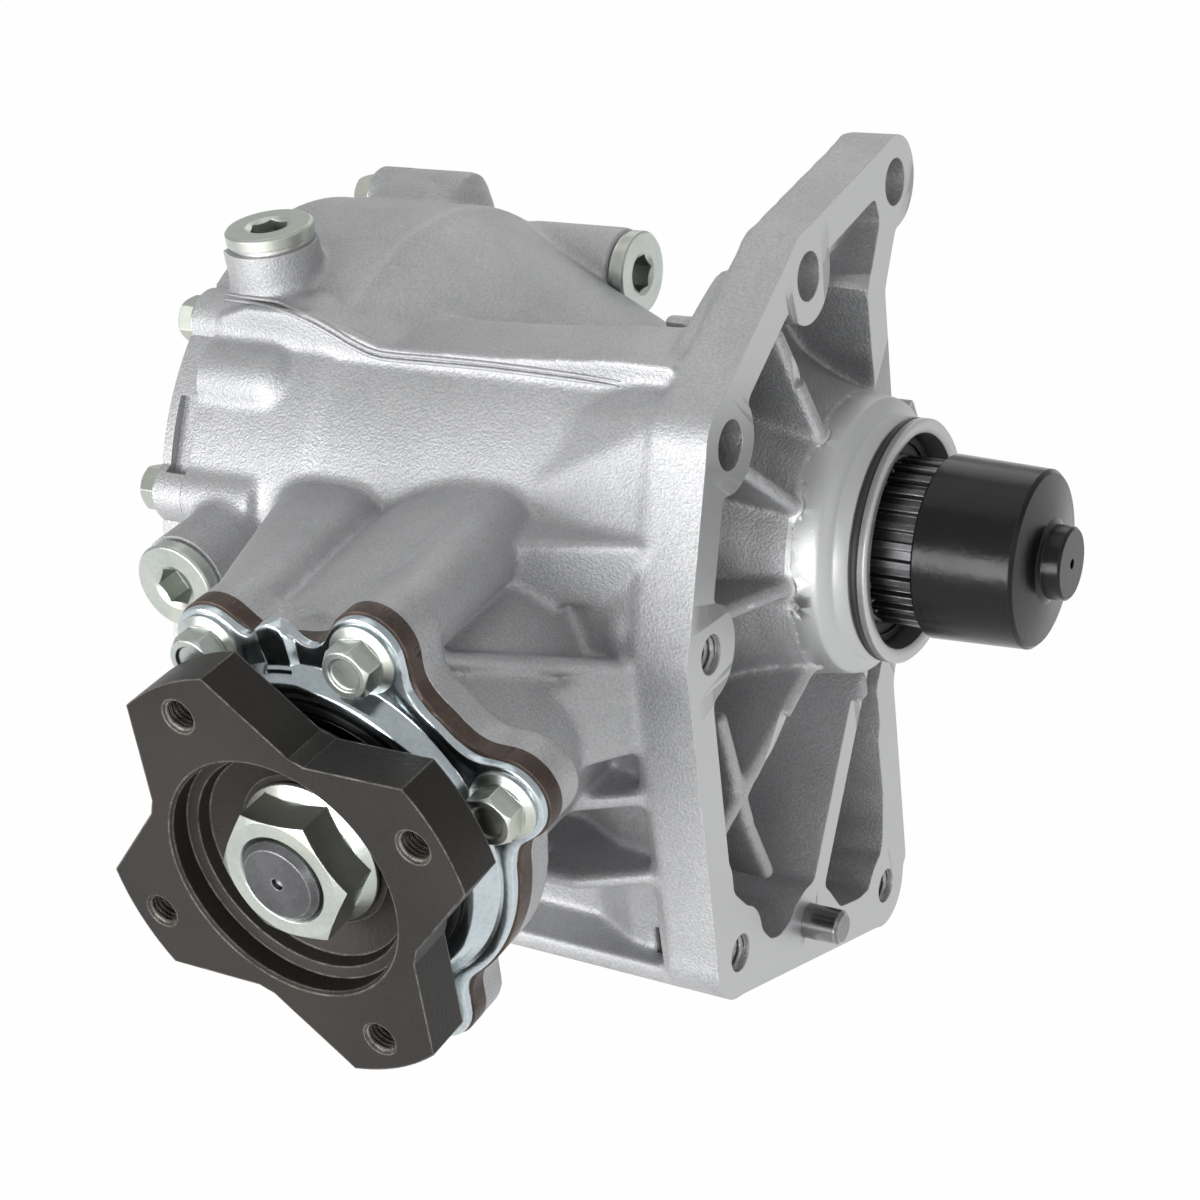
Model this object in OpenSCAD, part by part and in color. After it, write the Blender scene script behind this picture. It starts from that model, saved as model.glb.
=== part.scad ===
// Right-angle power transfer case: cast case, hollow input line, bevel output line.
// Origin: input axis in the bell face. +X out of the bell, -Y out of the output flange, +Z up.

/* [Axes] */
// Output axis behind the bell face
out_back = 65; // [60:1:72]
// Output axis below the input axis
out_drop = 13; // [9:1:15]
// End cover joint behind the bell face
joint_back = 162; // [158:1:172]

/* [Bell] */
// Radius of the bosses round the bell bolts
boss_r = 12.8; // [12:0.1:14]
// Width of the machined rim between bosses
rim_w = 11; // [9:0.5:13]
// Thickness of the bell flange
flange_t = 16; // [12:1:20]
// Depth of the pockets in the bell
pocket_depth = 28; // [22:1:30]
// Thickness of the wall behind the pockets
floor_t = 8; // [6:0.5:8.5]
// Radius of the clearance holes
bell_hole_r = 6.5; // [6:0.1:7]
// Radius of the tapped holes
bell_tap_r = 5.1; // [4.5:0.1:5.5]
// Depth of the tapped holes
bell_tap_depth = 24; // [18:1:28]
// Radius of the dowel
dowel_r = 5; // [4:0.5:6]
// Dowel length standing out of the face
dowel_out = 11; // [8:1:14]
// Thickness of the webs in the bell
web_t = 8; // [6:0.5:10]

/* [Pilot hub] */
// Radius of the pilot
pilot_r = 33.25; // [33:0.05:34]
// Pilot end in front of the face
pilot_end = 23; // [20:0.5:26]
// Length of the machined pilot
pilot_len = 9; // [8:0.5:12]
// Radius of the cast hub behind the pilot
hub_r = 38; // [37:0.5:39]
// Radius of the hub bore
hub_bore_r = 29.4; // [29:0.1:29.8]
// Thickness of the pilot O-ring section
ring_d = 2.6; // [2:0.1:3]

/* [Dome and barrel] */
// Outer radius of the barrel
barrel_r = 80.5; // [79:0.5:84]
// Wall of the barrel
barrel_wall = 5.5; // [5:0.5:6]
// Start of the dome slope behind the face
dome_start = 119; // [117:1:122]
// End of the dome slope behind the face
dome_end = 52; // [46:1:56]
// Radius at the end of the dome slope
dome_small_r = 46; // [45:0.5:48]
// Height of the shoulder on the output side
shoulder_z = 64; // [60:1:66]

/* [End cover] */
// Barrel radius beyond the cover register
register_step = 16; // [15:0.5:17]
// Cover bolt circle inside the barrel radius
bolt_step = 6; // [5:0.5:6.5]
// Radius of the cover bosses
cover_boss_r = 9.5; // [9:0.5:11]
// Thickness of the cover flange
cover_t = 10; // [9:0.5:12]
// Neck end behind the cover joint
neck_out = 22; // [20:1:26]
// Length of the register in the barrel
register_len = 6; // [5:0.5:8]

/* [Output neck] */
// Carrier flange seat from the input axis
carrier_seat = 143; // [137:1:145]
// Radius of the output neck
neck_r = 38.5; // [38:0.5:41]
// Radius of the carrier tube
carrier_r = 33; // [32.5:0.5:34]
// Thickness of the carrier flange
carrier_t = 5; // [4:0.5:9]
// Radius of the retainer bolt circle
retain_circle = 53.5; // [52:0.5:55]
// Radius of the retainer lobes
retain_lobe_r = 11; // [10:0.5:12]
// Radius of the retainer outline between lobes
retain_r = 50; // [48:0.5:51]
// Sheet thickness of the retainer plate
plate_t = 2.5; // [1.5:0.25:3]

/* [Companion flange] */
// Flange face in front of the retainer plate seat
flange_stand = 27; // [25:1:32]
// Radius of the flange lobes
lobe_r = 55; // [52:0.5:58]
// Half width of a lobe at the bolt circle
lobe_half = 17.3; // [15:0.1:19]
// Radius of the flange body between lobes
web_r = 38.3; // [36:0.1:40]
// Thickness of the lobes
lobe_t = 13; // [11:0.5:14]
// Radius of the flange bolt circle
bolt_circle_r = 46.35; // [44:0.05:48]
// Tapped hole radius in the flange
flange_tap_r = 4.25; // [4:0.05:4.5]
// Radius of the centring recess
recess_r = 32.25; // [31:0.05:34]
// Depth of the recess to the nut seat
recess_depth = 13.5; // [12:0.5:14]
// Turn of the lobes about the output axis
flange_turn = 25.2; // [0:0.1:90]

/* [Gears] */
// Teeth on the ring gear
ring_teeth = 33; // [33:1:35]
// Teeth on the pinion
pinion_teeth = 16; // [15:1:16]
// Outer end of the teeth from the input axis
heel = 55; // [53:0.5:55]
// Inner end of the teeth from the input axis
toe = 39; // [38:0.5:42]
// Share of the tooth pitch left free as backlash
free_play = 0.1; // [0.05:0.01:0.12]
// Pressure angle of the teeth
tooth_angle = 22.5; // [20:0.5:25]

/* [Shafts and bearings] */
// Through bore of the input shaft
shaft_bore_r = 16.5; // [15:0.5:17]
// Body radius of the input shaft
shaft_r = 26.5; // [26:0.5:27]
// Bore of the front bearing
front_bore_r = 23.5; // [23.5:0.1:24]
// Outside of the front bearing
front_cup_r = 35; // [34.5:0.5:36]
// Bore of the rear bearing
rear_bore_r = 22.5; // [22:0.5:23]
// Outside of the rear bearing
rear_cup_r = 36; // [35:0.5:37]
// Width of the input bearings
bearing_w = 17; // [16:0.5:18]
// Bore of the pinion head bearing
head_bore_r = 15; // [14.5:0.5:15.5]
// Outside of the pinion head bearing
head_cup_r = 28.5; // [28:0.25:28.5]
// Bore of the pinion tail bearing
tail_bore_r = 13.5; // [13:0.5:13.5]
// Outside of the pinion tail bearing
tail_cup_r = 27; // [26.5:0.25:27.5]
// Width of the pinion bearings
pinion_bearing_w = 18; // [16:0.5:18]
// Pinion thread radius
pinion_thread_r = 11; // [10:0.5:11]
// Slope of the bearing races
race_angle = 14; // [12:0.5:15]

/* [Spline and cap] */
// Teeth in the input spline
spline_teeth = 28; // [24:1:32]
// Radius over the tips of the spline teeth
spline_tip_r = 22.8; // [22:0.1:23]
// Height of the spline teeth
spline_h = 1.8; // [1.4:0.1:2]
// Spline end in front of the face
spline_end = 48; // [44:1:49]
// Cap mouth in front of the face
cap_mouth = 31.5; // [28:0.5:34]
// Cap radius at its mouth
cap_r = 24.9; // [24.8:0.1:25.4]
// Cap radius at its front
cap_front_r = 23.9; // [23.8:0.1:24.4]
// Cap front in front of the face
cap_front = 59; // [55:1:64]

/* [Plugs and screws] */
// Flange radius of the plugs
plug_flange_r = 12.5; // [12:0.5:13]
// Thread radius of the plugs
plug_thread_r = 8; // [7:0.5:8]
// Hex socket across flats in the plugs
plug_socket = 10; // [8:1:12]
// Across flats of the small bolts
small_af = 12; // [12:0.5:13]
// Thread radius of the small bolts
small_r = 4; // [3.5:0.25:4]
// Clearance round screw threads
thread_gap = 0.05; // [0.03:0.01:0.1]
// Radial clearance of seated parts
seat_gap = 0.03; // [0.02:0.01:0.06]
// Radial clearance of running parts
run_gap = 0.06; // [0.03:0.01:0.1]

/* [Hidden] */
$fn = 64;
eps = 0.01;

// Bell bolt centres, as [y, z] in the face
bolt_top_far = [51.8, 81.4];
bolt_top = [-4.3, 76.3];
bolt_upper = [-54, 51.7];
bolt_side = [-75.2, 3.7];
bolt_low = [-78.9, -87.3];
bolt_foot = [10.1, -127.4];
bolt_hid = [57, -9];
dowel_at = [-40, -104.4];
clear_holes = [bolt_top_far, bolt_top, bolt_upper, bolt_hid];
tapped_holes = [bolt_side, bolt_low, bolt_foot];

// Angles of the cover bolts from +Y towards +Z
cover_angles = [22, 54, 122.5, 161, 197, 234, 270, 306, 342];
// Angles of the retainer bolts from +X towards +Z
retain_angles = [19, 70.5, 122, 212, 289];

ratio_k = pinion_teeth / ring_teeth;
mesh_turn = 0.5;
apex_x = -out_back;
floor_x = -(pocket_depth + floor_t);
cover_out = joint_back + cover_t;
neck_end = joint_back + neck_out;
barrel_in = barrel_r - barrel_wall;
register_r = barrel_r - register_step;
cover_bolt_circle = barrel_r - bolt_step;
cover_r = barrel_r - 0.5;
top_bolt_step = 8.5;
seal_land_r = front_bore_r - 0.3;
dome_slope = (barrel_r - 2 - dome_small_r) / (dome_start - dome_end);
front_seat = 6;
spline_start = 18;
seal_at = 8.5;
shim_t = 1.5;
dowel_root_r = dowel_r - 0.6;
spot_cut = 0.5;
rear_seat = joint_back + 6;
ring_h = 2 * heel / ring_teeth;
ring_back = out_back + ratio_k * heel + 13.5;
ring_bore_r = 32;
ring_out_r = sqrt(heel * heel + out_drop * out_drop) + 1;
ring_bolt_circle = 45;
ring_bolts = 8;
hub_flange_t = 8;
pinion_back = heel + 4;
head_seat = 64;
tail_end = carrier_seat - 2;
tail_seat = tail_end - pinion_bearing_w;
plate_seat = carrier_seat + carrier_t;
out_reach = plate_seat + flange_stand;
plate_lip = plate_seat + 8;
nut_seat = out_reach - recess_depth;
pinion_end = out_reach + 1.5;
hub_boss_r = 22;
hub_start = tail_end + 0.05;
seal_r = 26.5;
lobe_taper = 0.4625;
pinion_cavity_r = ratio_k * heel + 4.4;
pinion_wall_r = carrier_r + 4.8;
neck_flange_t = 9;
neck_side = 70;
plug_boss_r = 13.1;
hump_len = 17;
washer_t = 1.5;

// Plug seats: fill plug [x, y], its seat height; side plug [y, z]; level plug [x, z]
fill_at = [-151.5, -31.5];
fill_seat = barrel_r + 4.5;
side_at = [45.5, 50.5];
side_seat = 85;
level_at = [-147.5, 14.5];
level_seat = barrel_r + 18.5;

// Puts local z along +X, local x along +Y and local y along +Z, at x
module on_input(x = 0) {
  translate([x, 0, 0]) rotate([90, 0, 90]) children();
}

// Puts local z along -Y, local x along +X and local y along +Z, d out from the input axis
module on_output(d = 0) {
  translate([-out_back, -d, -out_drop]) rotate([90, 0, 0]) children();
}

// Copies at each cover bolt, at x; the top bolt stands further out
module at_cover_bolts(x) {
  on_input(x) for (a = cover_angles) rotate(a)
    translate([cover_bolt_circle + (a == cover_angles[1] ? top_bolt_step : 0), 0]) children();
}

// Solid of revolution about the input axis from [radius, x] points
module turned_input(points) {
  on_input() rotate_extrude() polygon(points);
}

// Solid of revolution about the output axis from [radius, distance] points
module turned_output(points) {
  on_output() rotate_extrude() polygon(points);
}

// Flat bar from p to q, from side lo to side hi of the line
module bar(p, q, lo, hi) {
  d = q - p;
  translate(p) rotate(atan2(d[1], d[0])) translate([0, lo]) square([norm(d), hi - lo]);
}

// Machined rim of the bell, with the outer edge drawn in by inset
module rim(inset = 0) {
  r = boss_r - inset;
  w = rim_w - inset;
  for (p = concat(clear_holes, tapped_holes)) translate(p) circle(r);
  edge = r - 0.4;
  bar(bolt_top, bolt_top_far, edge - w, edge);
  bar(bolt_upper, bolt_top, edge - w, edge);
  bar(bolt_side, bolt_upper, edge - w, edge);
  bar(bolt_low, bolt_side, edge - w, edge);
  bar(bolt_foot, bolt_low, edge - w, edge);
  bar([21, -62], bolt_foot + [r - 3, 0], -w / 2, w / 2);
  bar([34, 20], [35, 58], -w / 2, w / 2);
  bar([35, 56], bolt_top_far, -w / 2, w / 2);
  bar([48, 14], bolt_hid, -w / 2 - 4, w / 2);
  bar([21, -62], bolt_hid - [6, 6], -w / 2, w / 2);
  translate([35, 57]) circle(w / 2 + 0.5);
  translate([21, -62]) circle(w / 2 + 0.5);
  translate(dowel_at) circle(dowel_r + 5.5);
  // Filled corners at the foot of the bell
  polygon([[-88, -62], [-78, -60], [-78.5, -68], [-69, -81], [-66, -89], [-62, -95], [-57, -97.5],
      [-50, -97.5],
    [-45, -94.5], [-33, -94.5], [-26, -104], [-20, -114], [-8, -119.5], [2, -121.5], [7, -118], [11, -110],
    [13.5, -96], [13.5, -76], [21, -66], [20, -128], [10, -138], [-44, -114], [-80, -97], [-89, -90]]);
}

// The whole face area inside the rim
module bell_area(inset = 0) {
  rim(inset);
  polygon([bolt_top_far, bolt_top, bolt_upper, bolt_side, bolt_low, bolt_foot, [18, -62],
    bolt_hid, [34, 18], [35, 57]]);
}

// Webs and round-topped ribs between the hub and the rim, in the face plane
module bell_webs() {
  bar([8, -48], [-34, -101], -web_t / 2, web_t / 2);
}

// Round-topped ribs from the hub to the rim, as [hub end, rim end], each [x, y, z]
rib_lines = [
  [[5, -14, 33], [-5, -18, 68]],
  [[5, -28, 20], [-4, -44, 40]],
  [[4, -35, 3], [-6.8, -66, 7]],
  [[2, -28, -26], [-6, -74, -54]],
  [[-5, -67.5, -20], [-5, -59.5, -60]],
  [[-6.5, -63.5, -44], [-6.5, -49, -84]]
];
rib_r = 2.4;

// Crest of the rib on the neck's bell side, as [x, y, z]
side_rib = [[-45, -127, 24], [-34, -104, 11.5], [-17, -86.5, 3]];

// Wavy edge of the shoulder on the output side, as [x, z]
shoulder_line = [[-joint_back + 2, 70], [-150, 73.5], [-130, 73.5], [-118, 70], [-106, 66],
    [-86, 66.5], [-62, 67.5],
  [-32, 70], [-flange_t, 70]];

module bell_ribs() {
  for (l = rib_lines) {
    d = l[1] - l[0];
    turn = atan2(d[2], d[1]);
    reach = norm([d[1], d[2]]);
    // Upright web under a sloping crest, drawn in the plane of the rib
    translate([0, l[0][1], l[0][2]]) rotate([turn, 0, 0]) translate([0, 0, 0.4 - rib_r])
      linear_extrude(2 * rib_r - 0.8) polygon([[floor_x, 0], [l[0][0], 0], [l[1][0], reach],
          [floor_x, reach]]);
    translate(l[0]) rotate([turn, 0, 0]) rotate([0, 0, -atan2(d[0], reach)]) rotate([-90, 0, 0])
      cylinder(r = rib_r, h = norm(d), $fn = 32);
  }
}

// Outer radius of the dome at a distance behind the face
function dome_at(d) = dome_small_r + (d - dome_end) * dome_slope;

// Outside of the barrel and dome
module barrel_outside() {
  turned_input([[0, -joint_back], [barrel_r, -joint_back], [barrel_r, -dome_start - 3],
    [barrel_r - 2, -dome_start], [dome_small_r, -dome_end], [dome_small_r, floor_x],
    [0, floor_x]]);
}

// Output-side wall: carries the barrel radius forward to the bell
module side_wall_area(r) {
  intersection() {
    circle(r);
    polygon([[-120, shoulder_z], [-30, shoulder_z], [-20, 40], [-20, -66], [-120, -66]]);
  }
}

// Bosses on the outside of the case
module case_bosses() {
  at_cover_bolts(-joint_back) cylinder(r = cover_boss_r, h = 24);
  // Long humped boss over the ring gear
  on_input(-joint_back) rotate(cover_angles[1]) translate([cover_bolt_circle + 5, 0]) {
    cylinder(r = cover_boss_r + 3, h = hump_len);
    translate([0, 0, hump_len]) sphere(r = cover_boss_r + 3);
  }
  // Boss of the second cover bolt, under the shoulder
  on_input(-joint_back) rotate(cover_angles[2]) translate([cover_bolt_circle, 0]) {
    cylinder(r = cover_boss_r + 1.5, h = 27);
    translate([0, 0, 27]) sphere(r = cover_boss_r + 1.5);
  }
  on_input(-joint_back) rotate(cover_angles[1]) translate([cover_bolt_circle - 6, 0]) {
    cylinder(r = cover_boss_r + 11.5, h = hump_len - 6);
    translate([0, 0, hump_len - 6]) sphere(r = cover_boss_r + 11.5);
  }
  // Rounded bulge below the second cover bolt
  on_input(-joint_back) rotate(135) translate([barrel_r - 8, 0]) {
    cylinder(r = 12, h = 20);
    translate([0, 0, 20]) sphere(r = 12);
  }
  // Fill boss, up
  translate([fill_at[0], fill_at[1], fill_seat - 32]) cylinder(r = plug_boss_r, h = 32);
  // Side plug boss, forward
  translate([0, side_at[0], side_at[1]]) on_input(-dome_start)
      cylinder(r = plug_boss_r, h = dome_start - side_seat);
  // Level boss, to the output side
  translate([level_at[0], -level_seat, level_at[1]]) rotate([-90, 0, 0])
      cylinder(r = plug_boss_r, h = level_seat - 60);
  // Small cast bump beside the level boss
  translate([-127, -83, 12]) rotate([-90, 0, 0]) cylinder(r = 9, h = 26);
  // Shoulder curtain up to the wavy line, and the bead along its edge
  translate([0, -24, 0]) rotate([90, 0, 0]) linear_extrude(25.5) polygon(concat(
    [for (p = shoulder_line) p - [0, 1.5]], [[-flange_t, 55], [-joint_back + 2, 55]]));
  translate([0, -47.5, 0]) rotate([90, 0, 0]) linear_extrude(3) polygon(concat(
    shoulder_line, [[-flange_t, 60], [-joint_back + 2, 60]]));
}

// Outline of the carrier flange, plate and neck seat
module retain_outline(grow = 0) {
  circle(retain_r + grow);
  for (a = retain_angles) rotate(a) {
    translate([retain_circle, 0]) circle(retain_lobe_r + grow);
    translate([0, -retain_lobe_r - grow + 1]) square([retain_circle, 2 * (retain_lobe_r + grow - 1)]);
  }
}

// Output neck outside
module neck_outside() {
  on_output(60) cylinder(r = neck_r, h = carrier_seat - 60);
  on_output(carrier_seat - neck_flange_t) linear_extrude(neck_flange_t) retain_outline();
  on_output(20) cylinder(r = pinion_wall_r, h = 41);
  // Two broad ridges from the upper carrier bolts back to the side wall, and the saddle between them
  hull() {
    on_output(carrier_seat - 12) rotate(retain_angles[2]) translate([retain_circle, 0])
        cylinder(r = retain_lobe_r - 0.7, h = 7.3);
    for (x = [-123, -108]) translate([x, -66, 22]) sphere(r = 12, $fn = 40);
  }
  hull() {
    on_output(carrier_seat - 12) rotate(retain_angles[1]) translate([retain_circle, 0])
        cylinder(r = retain_lobe_r - 0.7, h = 7.3);
    translate([-62, -64, 28]) sphere(r = 11, $fn = 40);
  }
  // Gusset and ribs that fill the gap between the neck and the bell
  translate([0, 0, -21]) linear_extrude(25) polygon([[-flange_t + 1, -87], [-30, -103], [-40, -103],
      [-40, -70],
    [-flange_t + 1, -70]]);
  for (z = [-37.5, -62.5]) translate([0, 0, z])
      linear_extrude(4.5) polygon([[-flange_t + 1, -88.5], [-36, -99],
    [-50, -99], [-50, -70], [-flange_t + 1, -70]]);
  // Rib from the upper right lobe along the neck to the bell
  for (i = [0, 1]) hull() for (p = [side_rib[i], side_rib[i + 1]]) {
    translate(p) sphere(r = 2.4, $fn = 24);
    translate(p + [-5, 6, -6]) sphere(r = 2.4, $fn = 24);
  }
  intersection() {
    on_output(60) cylinder(r = retain_r + 2.5, h = carrier_seat - 66);
    translate([-125, -160, -30]) cube([neck_side, 110, 90]);
  }
}

// Fairing that spreads from the side wall out to the upper bell bosses
module upper_fairing() {
  hull() {
    translate([0, bolt_upper[0], bolt_upper[1]]) on_input(-flange_t - 1) cylinder(r = boss_r - 1, h = 2);
    translate([0, bolt_side[0], bolt_side[1]]) on_input(-flange_t - 1) cylinder(r = boss_r - 1, h = 2);
    translate([-35, -46.5, 59]) sphere(r = 4, $fn = 24);
    translate([-42, -54, 53]) sphere(r = 4, $fn = 24);
    translate([-50, -65, 39]) sphere(r = 4, $fn = 24);
    translate([-50, -74, 14]) sphere(r = 4, $fn = 24);
  }
}

// Lower case wall under the neck, open to the bell
module lower_case() {
  on_input(-78) linear_extrude(78 - flange_t + 1) polygon([[-88, -12], [-88, -97], [-62, -108], [-54, -100],
    [-66, -88], [-70, -60], [-66, -12]]);
  on_input(-78) linear_extrude(78 - pocket_depth - floor_t + 1) polygon([[-70, -40], [-70, -46],
      [-22, -62], [-22, -40]]);
}

module side_windows() {
  // Recesses between the ribs, shallow at the bell and deep at the neck
  for (w = [[-33, -2], [-58, -37.5], [-91, -62.5]])
    translate([0, 0, w[0]]) linear_extrude(w[1] - w[0]) polygon([[-flange_t - 3, -95], [-flange_t - 3, -83],
      [-32, -81], [-46, -74], [-90, -73], [-90, -95]]);
}

// Ribs on the output side between neck and flange
module side_block() {
  // Ledge between the neck and the bell, with a cast bump under it
  translate([0, 0, 16]) linear_extrude(18) polygon([[-56, -89], [-flange_t + 1, -78],
      [-flange_t + 1, -60], [-56, -60]]);
  translate([-21, -77, 9]) sphere(r = 8.5);
}

module pilot_hub() {
  turned_input([[0, floor_x], [60, floor_x], [60, -27], [54, -25.5], [48, -21], [44, -14], [41, -6],
      [hub_r + 1, 3],
    [hub_r, pilot_end - pilot_len - 4], [hub_r - 0.5, pilot_end - pilot_len - 2.5],
    [pilot_r + 0.7, pilot_end - pilot_len - 0.5],
    [pilot_r, pilot_end - pilot_len], [pilot_r, pilot_end - 0.6], [pilot_r - 0.6, pilot_end],
        [0, pilot_end]]);
}

// Dish of the pocket: shallow towards the top of the bell, flat below
module pocket_dish(lift, reach) {
  turned_input([[0, 2], [110, 2], [98, -6 - lift], [82, -11 - lift], [70, -17 - lift], [58, -reach],
      [0, -reach]]);
  // Lower and left half: full depth behind the third rib
  rotate([atan2(7, -66) - 180, 0, 0]) translate([-reach, -140, -150]) cube([reach + 2, 280, 150]);
}

// Everything taken out of the casting
module case_inside() {
  // Hub bore and front bearing seat
  turned_input([[0, 30], [hub_bore_r + 1, 30], [hub_bore_r + 1, pilot_end], [hub_bore_r, pilot_end - 1],
    [hub_bore_r, -front_seat], [front_cup_r, -front_seat], [front_cup_r, floor_x - 4], [0, floor_x - 4]]);
  // Ring gear space and cover register, with the cover bosses left standing
  difference() {
    turned_input([[0, floor_x - 3], [dome_small_r - 6, floor_x - 3], [dome_small_r - 6, -65],
      [ring_out_r + 2.5, -93], [barrel_in - 2, -dome_start], [barrel_in, -dome_start - 3],
      [barrel_in, -joint_back + 10], [register_r, -joint_back + 8], [register_r, -joint_back - 1],
      [0, -joint_back - 1]]);
    at_cover_bolts(-joint_back) cylinder(r = cover_boss_r - 1.5, h = 24);
  }
  // Pinion space and carrier seat
  on_output(15) cylinder(r = pinion_cavity_r, h = 50);
  on_output(pinion_back) cylinder(r = carrier_r, h = 100);
}

// Bolt holes, plug holes and dowel hole
module case_holes() {
  for (p = clear_holes) translate([0, p[0], p[1]]) on_input(p == bolt_upper ? 0.5 - flange_t : -40)
    cylinder(r = bell_hole_r, h = 50);
  // Spot faces behind the through holes
  for (p = [bolt_top_far, bolt_top, bolt_hid]) translate([0, p[0], p[1]])
    on_input(-floor_t - 40) cylinder(r = boss_r - 1.3, h = floor_t + 40 - flange_t);
  for (p = tapped_holes) translate([0, p[0], p[1]]) {
    on_input(-bell_tap_depth) cylinder(r = bell_tap_r, h = bell_tap_depth + 1);
    on_input(-1) cylinder(r1 = bell_tap_r, r2 = bell_tap_r + 1.2, h = 1 + eps);
  }
  translate([0, dowel_at[0], dowel_at[1]]) on_input(-16) cylinder(r = dowel_root_r, h = 20);
  translate([0, dowel_at[0], dowel_at[1]]) on_input(-1)
      cylinder(r1 = dowel_root_r, r2 = dowel_r + 1, h = 1 + eps);
  at_cover_bolts(-joint_back - 1) cylinder(r = small_r + thread_gap, h = 21);
  on_output(carrier_seat - 14) for (a = retain_angles) rotate(a) translate([retain_circle, 0])
    cylinder(r = small_r + thread_gap, h = 15);
  translate([fill_at[0], fill_at[1], 50]) cylinder(r = plug_thread_r + thread_gap, h = fill_seat - 49);
  translate([level_at[0], -level_seat - 1, level_at[1]]) rotate([-90, 0, 0])
    cylinder(r = plug_thread_r + thread_gap, h = 40);
  translate([0, side_at[0], side_at[1]]) on_input(-side_seat - 20)
      cylinder(r = plug_thread_r + thread_gap, h = 21);
  // Room for the side plug head and its key
  translate([0, side_at[0], side_at[1]]) on_input(-side_seat)
      cylinder(r = plug_flange_r + 0.7, h = side_seat - 38);
  // Groove of the pilot O-ring
  turned_input([[pilot_r - ring_d - 0.1, pilot_end - 2.4 - ring_d - 0.3],
      [pilot_r + 1, pilot_end - 2.4 - ring_d - 0.3],
    [pilot_r + 1, pilot_end - 2.4], [pilot_r - ring_d - 0.1, pilot_end - 2.4]]);
  // Oil drilling in the hub flank
  translate([5, -hub_r - 3, -2]) rotate([-90, 0, 0]) cylinder(r = 1.3, h = 7);
}

module main_housing() {
  color("#b8bab9") difference() {
    union() {
      difference() {
        union() {
          barrel_outside();
          on_input(-joint_back) linear_extrude(joint_back - flange_t + 1) side_wall_area(barrel_r - 1);
          upper_fairing();
          intersection() {
            on_input(floor_x) linear_extrude(-floor_x) bell_area(3);
            pocket_dish(9, -floor_x);
          }
          on_input(-flange_t) linear_extrude(flange_t) bell_area();
          lower_case();
          side_block();
        }
        // Bell pockets
        intersection() {
          on_input(-pocket_depth) linear_extrude(pocket_depth + 1) difference() {
            bell_area(1);
            rim();
            bell_webs();
          }
          pocket_dish(0, pocket_depth);
        }
        side_windows();
      }
      intersection() {
        bell_ribs();
        on_input(floor_x) linear_extrude(60) bell_area(2);
      }
      case_bosses();
      neck_outside();
      pilot_hub();
    }
    case_inside();
    case_holes();
    // Joint face of the end cover
    on_input(-joint_back - 20) cylinder(r = 120, h = 20);
  }
}

// Outline of the cover plate with its bolt bosses
module cover_outline() {
  circle(cover_r);
  for (a = cover_angles) rotate(a)
    translate([cover_bolt_circle + (a == cover_angles[1] ? top_bolt_step : 0), 0]) circle(cover_boss_r);
}

module end_cover() {
  color("#b4b6b5") difference() {
    union() {
      on_input(-cover_out) linear_extrude(cover_t) cover_outline();
      on_input(-joint_back - 1) cylinder(r = register_r - seat_gap, h = register_len + 1);
      turned_input([[0, -joint_back], [rear_cup_r + 6, -joint_back + register_len],
        [rear_cup_r + 6, -rear_seat + bearing_w + shim_t + 2], [0, -rear_seat + bearing_w + shim_t + 2]]);
      turned_input([[0, -neck_end], [rear_cup_r + 1, -neck_end], [rear_cup_r + 2, -neck_end + 1],
        [rear_cup_r + 6, -cover_out - 1], [rear_cup_r + 12, -cover_out + 1], [0, -cover_out + 1]]);
      // Ribs from the neck to the bosses
      for (a = cover_angles) on_input(-cover_out - 4) rotate(a) translate([36, -2.5]) cube([31, 5, 7]);
    }
    // Hollow behind the register
    turned_input([[rear_cup_r + 10, -joint_back - 4], [register_r - 8, -joint_back - 4],
      [register_r - 5, 0], [rear_cup_r + 6.01, 0]]);
    // Bearing seat, shaft space and seal seat
    turned_input([[0, 0], [rear_cup_r, 0], [rear_cup_r, -rear_seat], [24, -rear_seat], [24, -neck_end + 9],
      [29, -neck_end + 9], [29, -neck_end - 1], [0, -neck_end - 1]]);
    // Groove of the cover seal
    turned_input([[register_r - 3, -joint_back + 2], [register_r + 1, -joint_back + 2],
      [register_r + 1, -joint_back + 5], [register_r - 3, -joint_back + 5]]);
    at_cover_bolts(-cover_out - 8) {
      cylinder(r = small_r + 0.4, h = 20);
      cylinder(r = cover_boss_r + 0.5, h = 8 + spot_cut);
    }
    // Lightening pockets in the edge
    for (a = [149, 215, 252, 288, 324]) on_input(-joint_back - 7) linear_extrude(8)
      rotate(a) translate([77, -11]) square([20, 22]);
  }
}

// Hex flange bolt: head towards -z of the seat, shank towards +z
module flange_bolt(len) {
  difference() {
    union() {
      translate([0, 0, -8]) cylinder(r = small_af / sqrt(3), h = 7, $fn = 6);
      translate([0, 0, -2]) cylinder(r1 = small_af / 2 + 0.9, r2 = 8.9, h = 1);
      translate([0, 0, -1]) cylinder(r = 8.9, h = 1);
      cylinder(r = small_r, h = len - 1);
      translate([0, 0, len - 1]) cylinder(r1 = small_r, r2 = small_r - 0.9, h = 1);
    }
    translate([0, 0, -8 - eps]) cylinder(r1 = 4.4, r2 = 3.9, h = 0.7);
    // Chamfer on the head corners
    translate([0, 0, -8.5]) difference() {
      cylinder(r = 12, h = 2);
      cylinder(r1 = small_af / 2 - 0.7, r2 = small_af / 2 + 1.6, h = 2);
    }
  }
}

module cover_bolts() {
  color("#c3c8c4") at_cover_bolts(spot_cut - cover_out) flange_bolt(cover_t + 17.5);
}

module cover_seal() {
  color("#161616") on_input(-joint_back + 3.5) rotate_extrude() translate([register_r - 1.5, 0])
      circle(1.42, $fn = 24);
}

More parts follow.
